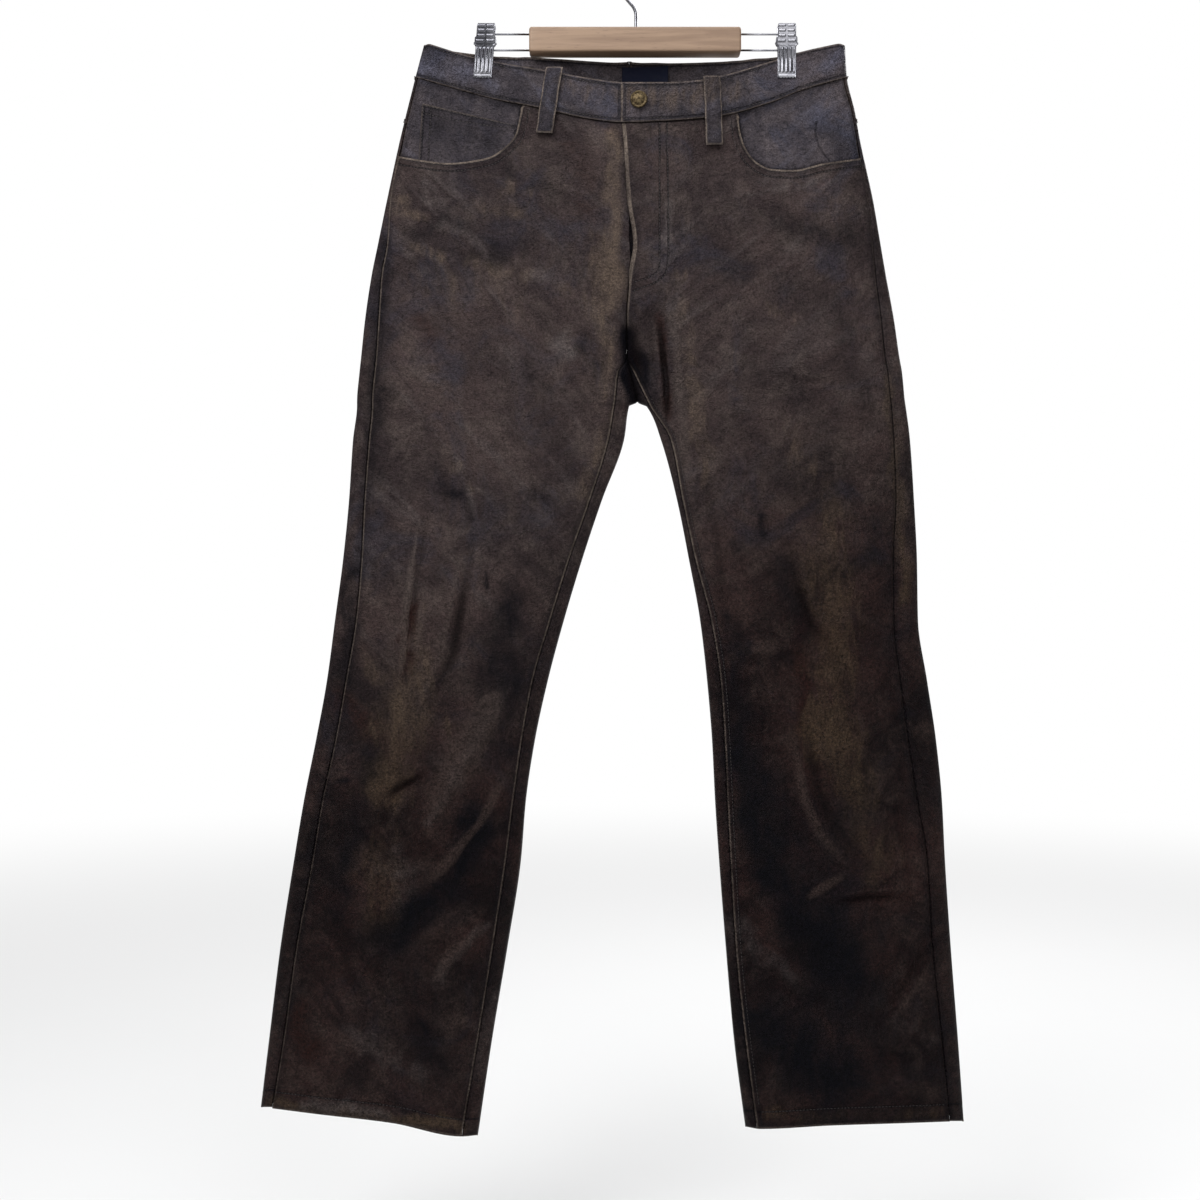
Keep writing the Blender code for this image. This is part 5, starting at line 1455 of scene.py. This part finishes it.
def hook_path():
    """The hook's middle line: a stem, a bend to the side, then most of a circle."""
    turns = np.radians(np.linspace(0, 45, 12))[1:]
    around = np.radians(np.linspace(222, -48, 90))
    x = np.concatenate((np.zeros(3), -STEM_BEND * (1 - np.cos(turns)), HOOK_RADIUS * np.cos(around)))
    z = np.concatenate(((-STEM_FOOT - 4.0, -66.0, -STEM_TOP), STEM_BEND * np.sin(turns) - STEM_TOP,
                        HOOK_RADIUS * (np.sin(around) - 1) + 0.5 * HOOK_WIRE))
    return in_plane(x, z)


def arm_path(way):
    """A wire arm: out of the bar, round inside the clip and back to the bar."""
    start = BAR_HIGH[0] - 3.0 if way > 0 else BAR_LOW[0] + 3.0
    radius = 0.5 * (ARM_HIGH - ARM_LOW)
    turns = np.radians(np.linspace(90, -90, 25))
    x = way * (CLIP_X - radius + radius * np.cos(turns))
    z = ARM_LOW + radius * (1 + np.sin(turns))
    return in_plane(np.concatenate(((start,), x, (start,))),
                    np.concatenate(((ARM_HIGH,), z, (ARM_LOW,))))


def bar_rings():
    """The wooden bar: a rounded rectangle carried along it, drawn in round its two ends."""
    half, middle = 0.5 * (BAR_HIGH - BAR_LOW), 0.5 * (BAR_HIGH + BAR_LOW)
    angle = 2 * math.pi * (np.arange(40) + 0.5) / 40
    y, z = (np.sign(wave) * np.abs(wave) ** 0.16 for wave in (np.cos(angle), np.sin(angle)))
    turn = np.radians(np.linspace(0, 90, 7))
    inset = BAR_CORNER * (1 - np.sin(turn))
    end = half[0] - BAR_CORNER * (1 - np.cos(turn))
    straight = np.linspace(BAR_CORNER - half[0], half[0] - BAR_CORNER, 30)[1:-1]
    x = np.concatenate((-end, straight, end[::-1]))
    inset = np.concatenate((inset, 0 * straight, inset[::-1]))[:, None]
    return middle + np.stack((x[:, None] + 0 * y, y * (half[1] - inset), z * (half[2] - inset)), -1)


def clip_grid(middle_x, face, lean):
    """A sprung plate: its jaw lies on the band and its thumb end stands off above. The thumb end
    has two columns of raised cross ridges, the jaw four upright ribs and a toothed lip."""
    share = np.linspace(0, 1, 120)[:, None]
    across = np.linspace(-0.5, 0.5, 49)
    down = CLIP_TOP + (CLIP_BOTTOM - CLIP_TOP) * share
    ear = 1.5 * ramp(80.0, 81.5, down) * (1 - ramp(87.5, 89.5, down))
    width = CLIP_WIDTH + 2 * ear - 1.2 * bell(down - CLIP_TOP, 1.0)
    off = smooth_through(np.array((67.0, 76.0, 84.0, 92.0, 104.0, 121.0)),
                         np.array((5.4, 4.6, 3.2, 1.6, 0.0, 0.0)), down)
    ribs = 0.75 * (0.5 + 0.5 * np.cos(2 * math.pi * 4.5 * across)) ** 1.5
    in_jaw = ramp(90.0, 93.0, down) * (1 - ramp(115.0, 117.5, down)) * (np.abs(across) < 0.44)
    ridge = (0.5 + 0.5 * np.cos(2 * math.pi * (down - 69.0) / 5.2)) ** 3
    columns = ramp(0.05, 0.11, np.abs(across)) * (1 - ramp(0.38, 0.44, np.abs(across)))
    in_thumb = ramp(68.0, 69.5, down) * (1 - ramp(88.0, 89.5, down))
    rim = 0.5 * ramp(0.455, 0.485, np.abs(across)) * ramp(CLIP_TOP + 1, CLIP_TOP + 3, down)
    lip = 0.9 * ramp(118.2, 119.4, down)
    teeth = 0.8 * (0.5 + 0.5 * np.cos(2 * math.pi * 6 * across)) * ramp(119.6, 121.0, down)
    off = off + ribs * in_jaw + ridge * columns * in_thumb + rim + lip
    x = middle_x - lean * (down - 86.0) + across * width
    depth = PINCH + 0.45 + off + 0 * x
    if face == "front":
        return placed(x, down + teeth, depth, face)
    return np.stack((x, depth, -(down + teeth) + 0 * x), axis=-1)


def button_rings():
    """The button's profile turned round its axis: a low dome in a raised rim, a groove between
    them and a thin edge over the shank."""
    radius, height = np.array((
        (0.05, 4.15), (1.2, 4.12), (2.6, 3.95), (4.0, 3.6), (5.0, 3.2), (5.6, 2.8), (6.0, 2.65),
        (6.4, 2.8), (6.9, 3.15), (7.5, 3.25), (8.0, 3.0), (8.4, 2.4), (8.5, 1.7), (8.3, 1.0),
        (7.8, 0.6), (6.6, 0.3), (4.0, 0.0), (0.05, 0.0))).T[:, :, None]
    angle = 2 * math.pi * np.arange(56) / 56
    x, y, z = on_cloth("left", "front", *BUTTON_PLACE)
    return np.stack((x + radius * np.cos(angle), y - 1.0 - height + 0 * angle,
                     z + radius * np.sin(angle)), axis=-1)


# ---------------------------------------------------------------- settings and operators
def colour_choice(name, description, tone):
    return bpy.props.FloatVectorProperty(name=name, description=description, subtype="COLOR",
                                         size=3, default=BODY_COLOURS[tone], min=0.0, max=1.0)


def length_choice(name, description, default, low, high, precision=4):
    return bpy.props.FloatProperty(name=name, description=description, default=default, min=low,
                                   max=high, unit="LENGTH", precision=precision)


class TrousersLeatherSettings(bpy.types.PropertyGroup):
    mid: colour_choice("Leather", "Main colour of the leather", "mid")
    tan: colour_choice("Rubbed Patches", "Colour where the leather is worn through", "tan")
    # The edge colour is partly rubbed wear and partly a painted highlight on the rolled crest.
    edge: colour_choice("Rubbed Edges", "Colour of the edges of pockets, fly and seams", "edge")
    hide: length_choice("Leather Thickness", "Thickness of one layer of leather",
                        HIDE * MM, 0.001, 0.003)
    band: length_choice("Waistband Thickness", "Thickness of the waistband's two layers",
                        BAND_THICKNESS * MM, 0.002, 0.005)


class TrousersStageSettings(bpy.types.PropertyGroup):
    floor_drop: length_choice("Floor Below Hem", "Distance from the lowest hem to the floor",
                              0.16, 0.0, 2.0, 2)
    sight: length_choice("Camera Distance", "Distance from the camera to the garment",
                         SIGHT * MM, 0.5, 5.0, 2)
    light: bpy.props.FloatProperty(
        name="Light", description="Strength of the studio lights", default=1.0, min=0.0, max=5.0)


class Undoable:
    """What every operator here shares: it shows in the last-operator panel and can be undone."""
    bl_options = {"REGISTER", "UNDO"}


class MESH_OT_trousers_front_panels(Undoable, bpy.types.Operator):
    """Build the two front panels"""
    bl_idname = "mesh.trousers_front_panels"
    bl_label = "Front Panels"

    def execute(self, context):
        for side in SIDES:
            sew("front_panel_" + side, "front_" + side, "leather", [front_panel(side)],
                context.scene.trousers_leather.hide / MM, side == "left")
        return {"FINISHED"}


class MESH_OT_trousers_back_panels(Undoable, bpy.types.Operator):
    """Build the two back panels, which wrap round to the front"""
    bl_idname = "mesh.trousers_back_panels"
    bl_label = "Back Panels"

    def execute(self, context):
        for side in SIDES:
            sew("back_panel_" + side, "back_" + side, "leather", back_panel(side),
                context.scene.trousers_leather.hide / MM, side == "left")
        return {"FINISHED"}


class MESH_OT_trousers_yokes(Undoable, bpy.types.Operator):
    """Build the two halves of the back yoke"""
    bl_idname = "mesh.trousers_yokes"
    bl_label = "Yokes"

    def execute(self, context):
        for side in SIDES:
            sew("yoke_half_" + side, "yoke_" + side, "leather", [yoke(side)],
                context.scene.trousers_leather.hide / MM, side == "left")
        return {"FINISHED"}


class MESH_OT_trousers_waistband(Undoable, bpy.types.Operator):
    """Build the waistband in two halves"""
    bl_idname = "mesh.trousers_waistband"
    bl_label = "Waistband"

    def execute(self, context):
        for side in SIDES:
            sew("waistband_half_" + side, "waistband_" + side, "trim_leather", [waistband(side)],
                context.scene.trousers_leather.band / MM, side == "left")
        return {"FINISHED"}


class MESH_OT_trousers_pocket_facings(Undoable, bpy.types.Operator):
    """Build the hip facings and the coin pocket on the right one"""
    bl_idname = "mesh.trousers_pocket_facings"
    bl_label = "Pocket Facings"

    def execute(self, context):
        for side in SIDES:
            sew("hip_facing_" + side, "pocket_facing_" + side, "trim_leather",
                [pocket_facing(side)], FACING_THICKNESS, side == "left")
        sew("coin_patch", "coin_pocket", "trim_leather", [coin_pocket()], FACING_THICKNESS, True,
            True)
        return {"FINISHED"}


class MESH_OT_trousers_fly(Undoable, bpy.types.Operator):
    """Build the fly shield behind the fly and the waist button"""
    bl_idname = "mesh.trousers_fly"
    bl_label = "Fly and Button"

    def execute(self, context):
        sew("fly_shield_strip", "fly_shield", "leather", [fly_shield()], FACING_THICKNESS, True)
        solid("waist_button", "button", "button_brass", button_rings(), True)
        return {"FINISHED"}


class MESH_OT_trousers_back_pockets(Undoable, bpy.types.Operator):
    """Build the two patch pockets on the seat"""
    bl_idname = "mesh.trousers_back_pockets"
    bl_label = "Back Pockets"

    def execute(self, context):
        for side in SIDES:
            sew("seat_pocket_" + side, "back_pocket_" + side, "leather", [back_pocket(side)],
                PATCH_THICKNESS, side == "right", True)
        return {"FINISHED"}


class MESH_OT_trousers_belt_loops(Undoable, bpy.types.Operator):
    """Build the five belt loops"""
    bl_idname = "mesh.trousers_belt_loops"
    bl_label = "Belt Loops"

    def execute(self, context):
        for name, row in LOOPS.items():
            sew("strap_" + name, "belt_loop_" + name, "trim_leather", [belt_loop(name)],
                LOOP_THICKNESS, row[1] == "front", outside=True)
        return {"FINISHED"}


class MESH_OT_trousers_label(Undoable, bpy.types.Operator):
    """Build the bare woven label inside the back waistband"""
    bl_idname = "mesh.trousers_label"
    bl_label = "Label"

    def execute(self, context):
        sew("bare_label", "label", "label_cloth", [bare_label()], LABEL_THICKNESS, True,
            outside=True)
        return {"FINISHED"}


class MESH_OT_trousers_stitches(Undoable, bpy.types.Operator):
    """Sew the visible stitch lines"""
    bl_idname = "mesh.trousers_stitches"
    bl_label = "Stitches"

    def execute(self, context):
        for side in SIDES:
            stitches("front_stitches_" + side, "leather", front_stitches(side))
            stitches("back_stitches_" + side, "leather", back_stitches(side))
        stitches("band_stitches", "trim_leather", band_stitches())
        stitches("loop_stitches", "trim_leather", loop_stitches())
        return {"FINISHED"}


class MESH_OT_trousers_hanger(Undoable, bpy.types.Operator):
    """Build the hanger's wooden bar, hook and arms"""
    bl_idname = "mesh.trousers_hanger"
    bl_label = "Hanger"

    def execute(self, context):
        solid("hanger_wood_bar", "hanger_bar", "bar_wood", bar_rings())
        hook = rounded_ends(hook_path(), 0.5 * HOOK_WIRE, 0.5 * HOOK_WIRE)
        solid("hanger_wire_hook", "hanger_hook", "chromed_wire", tube(*hook, 20))
        for side, way, _ in CLIP_LEANS:
            solid("hanger_wire_arm_" + side, "hanger_arm_" + side, "chromed_wire",
                  tube(arm_path(way), 0.5 * ARM_WIRE, 14))
        return {"FINISHED"}


class MESH_OT_trousers_clips(Undoable, bpy.types.Operator):
    """Build the two ribbed clips with their pins"""
    bl_idname = "mesh.trousers_clips"
    bl_label = "Clips"

    def execute(self, context):
        for side, way, lean in CLIP_LEANS:
            for face in ("front", "back"):
                grid = clip_grid(way * CLIP_X, face, lean)
                faces = grid_faces(*grid.shape[:2])[:, ::-1 if face == "back" else 1]
                made = make("clip_plate_{}_{}".format(side, face), "clip_{}_{}".format(side, face),
                            "chromed_wire", grid.reshape(-1, 3), faces.tolist())
                add_wall(made, CLIP_PLATE, True)
            reach = 0.5 * CLIP_WIDTH + 2.0
            ends = [(way * CLIP_X + step, *PIN_PLACE) for step in (-reach, reach)]
            solid("clip_axle_" + side, "clip_{}_pin".format(side), "chromed_wire",
                  tube(*rounded_ends(ends, 1.2, 0.5), 16))
        return {"FINISHED"}


# ---------------------------------------------------------------- the stage
# Lights: place, target, size and power, in metres and watts.
LIGHTS = {
    "key": ((-1.0, -1.3, 0.90), (0.0, 0.0, -0.30), 1.3, 40.0),
    "fill": ((0.6, -2.2, 0.05), (0.0, 0.0, -0.3), 1.2, 12.0),
    "top": ((0.2, -0.6, 1.15), (0.0, 0.0, -0.2), 1.3, 20.0),
    "back": ((0.9, 1.6, 0.9), (0.0, 0.0, -0.4), 1.5, 62.0),
}
FRAME_WIDTH = 1200.0       # the camera sees this much across at the garment, in mm


def stand(name, data, place, direction):
    """Adds a lamp or camera that looks along a direction."""
    made = bpy.data.objects.new(name, data)
    bpy.context.scene.collection.objects.link(made)
    level = math.hypot(direction[0], direction[1])
    made.location = place
    made.rotation_euler = (math.radians(90) + math.atan2(direction[2], level), 0,
                           -math.atan2(direction[0], direction[1]))
    return made


class MESH_OT_trousers_stage(Undoable, bpy.types.Operator):
    """Lay the pale floor, the soft studio lights and the camera"""
    bl_idname = "mesh.trousers_stage"
    bl_label = "Stage"

    def execute(self, context):
        stage = context.scene.trousers_stage
        self.floor(CAD_BOX[0][2] - stage.floor_drop)
        self.world()
        for name, (place, target, size, power) in LIGHTS.items():
            light = bpy.data.lights.new(name, "AREA")
            light.shape = "DISK"
            light.size = size
            light.energy = power * stage.light
            stand(name, light, place, np.array(target) - place)
        camera = bpy.data.cameras.new("camera")
        camera.sensor_width = 36.0
        camera.lens = 36.0 * stage.sight / (FRAME_WIDTH * MM)
        place = (SIGHT_X * MM, -stage.sight, -SIGHT_DOWN * MM)
        context.scene.camera = stand("camera", camera, place, (0.0, 1.0, 0.0))
        return {"FINISHED"}

    def floor(self, height):
        """A wide pale disc below the hems that fades into the surround."""
        angle = 2 * math.pi * np.arange(128) / 128
        points = np.stack((np.cos(angle) * 6.0, np.sin(angle) * 6.0, np.full(128, height)), -1)
        mesh = bpy.data.meshes.new("floor")
        mesh.from_pydata(points.tolist(), [], [list(range(128))])
        s = Shader("pale_floor")
        away = s.add("ShaderNodeVectorMath", {0: s.coords}, operation="LENGTH").outputs["Value"]
        far = s.span(away, 0.0, 4.2)
        pale = s.mix(s.noise(3.0, 3.0), (0.75, 0.75, 0.75), (0.77, 0.77, 0.77))
        s.join(s.mix(far, (0.0, 0.0, 0.0), (1.0, 1.0, 1.0)), s.surface.inputs["Emission Color"])
        mesh.materials.append(s.finish(s.mix(far, pale, (0.0, 0.0, 0.0)), 0.9, None,
                                       Emission_Strength=1.0, Specular_IOR_Level=0.0))
        made = bpy.data.objects.new("floor", mesh)
        bpy.context.scene.collection.objects.link(made)

    def world(self):
        """A pale surround, seen white by the camera and dimmer by the garment."""
        world = bpy.data.worlds.new("pale_studio")
        world.use_nodes = True
        tree = world.node_tree
        shade = tree.nodes["Background"]
        shade.inputs["Color"].default_value = (0.95, 0.97, 1.0, 1.0)
        shade.inputs["Strength"].default_value = 0.17
        white = tree.nodes.new("ShaderNodeBackground")
        white.inputs["Color"].default_value = (1.0, 1.0, 1.0, 1.0)
        seen = tree.nodes.new("ShaderNodeLightPath")
        both = tree.nodes.new("ShaderNodeMixShader")
        tree.links.new(seen.outputs["Is Camera Ray"], both.inputs[0])
        tree.links.new(shade.outputs[0], both.inputs[1])
        tree.links.new(white.outputs[0], both.inputs[2])
        tree.links.new(both.outputs[0], tree.nodes["World Output"].inputs["Surface"])
        bpy.context.scene.world = world
        bpy.context.scene.view_settings.view_transform = "Standard"


class VIEW3D_PT_trousers(bpy.types.Panel):
    """Sidebar panel that lists the pieces and the stage"""
    bl_idname = "VIEW3D_PT_trousers"
    bl_label = "Leather Trousers"
    bl_space_type = "VIEW_3D"
    bl_region_type = "UI"
    bl_category = "Trousers"

    def draw(self, context):
        for group in (context.scene.trousers_leather, context.scene.trousers_stage):
            box = self.layout.box()
            for name in group.__annotations__:
                box.prop(group, name)
        for operator in OPERATORS:
            self.layout.operator(operator.bl_idname)


OPERATORS = (
    MESH_OT_trousers_front_panels, MESH_OT_trousers_back_panels, MESH_OT_trousers_yokes,
    MESH_OT_trousers_waistband, MESH_OT_trousers_pocket_facings, MESH_OT_trousers_fly,
    MESH_OT_trousers_back_pockets, MESH_OT_trousers_belt_loops, MESH_OT_trousers_label,
    MESH_OT_trousers_stitches, MESH_OT_trousers_hanger, MESH_OT_trousers_clips,
    MESH_OT_trousers_stage,
)
CLASSES = (TrousersLeatherSettings, TrousersStageSettings, *OPERATORS, VIEW3D_PT_trousers)


def register():
    for kind in CLASSES:
        bpy.utils.register_class(kind)
    bpy.types.Scene.trousers_leather = bpy.props.PointerProperty(type=TrousersLeatherSettings)
    bpy.types.Scene.trousers_stage = bpy.props.PointerProperty(type=TrousersStageSettings)


def unregister():
    del bpy.types.Scene.trousers_stage
    del bpy.types.Scene.trousers_leather
    for kind in reversed(CLASSES):
        bpy.utils.unregister_class(kind)


def write_sizes():
    """Updates the view layer."""
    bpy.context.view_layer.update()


def main():
    register()
    for operator in OPERATORS:
        getattr(bpy.ops.mesh, operator.bl_idname.split(".")[1])()
    write_sizes()


if __name__ == "__main__":
    main()
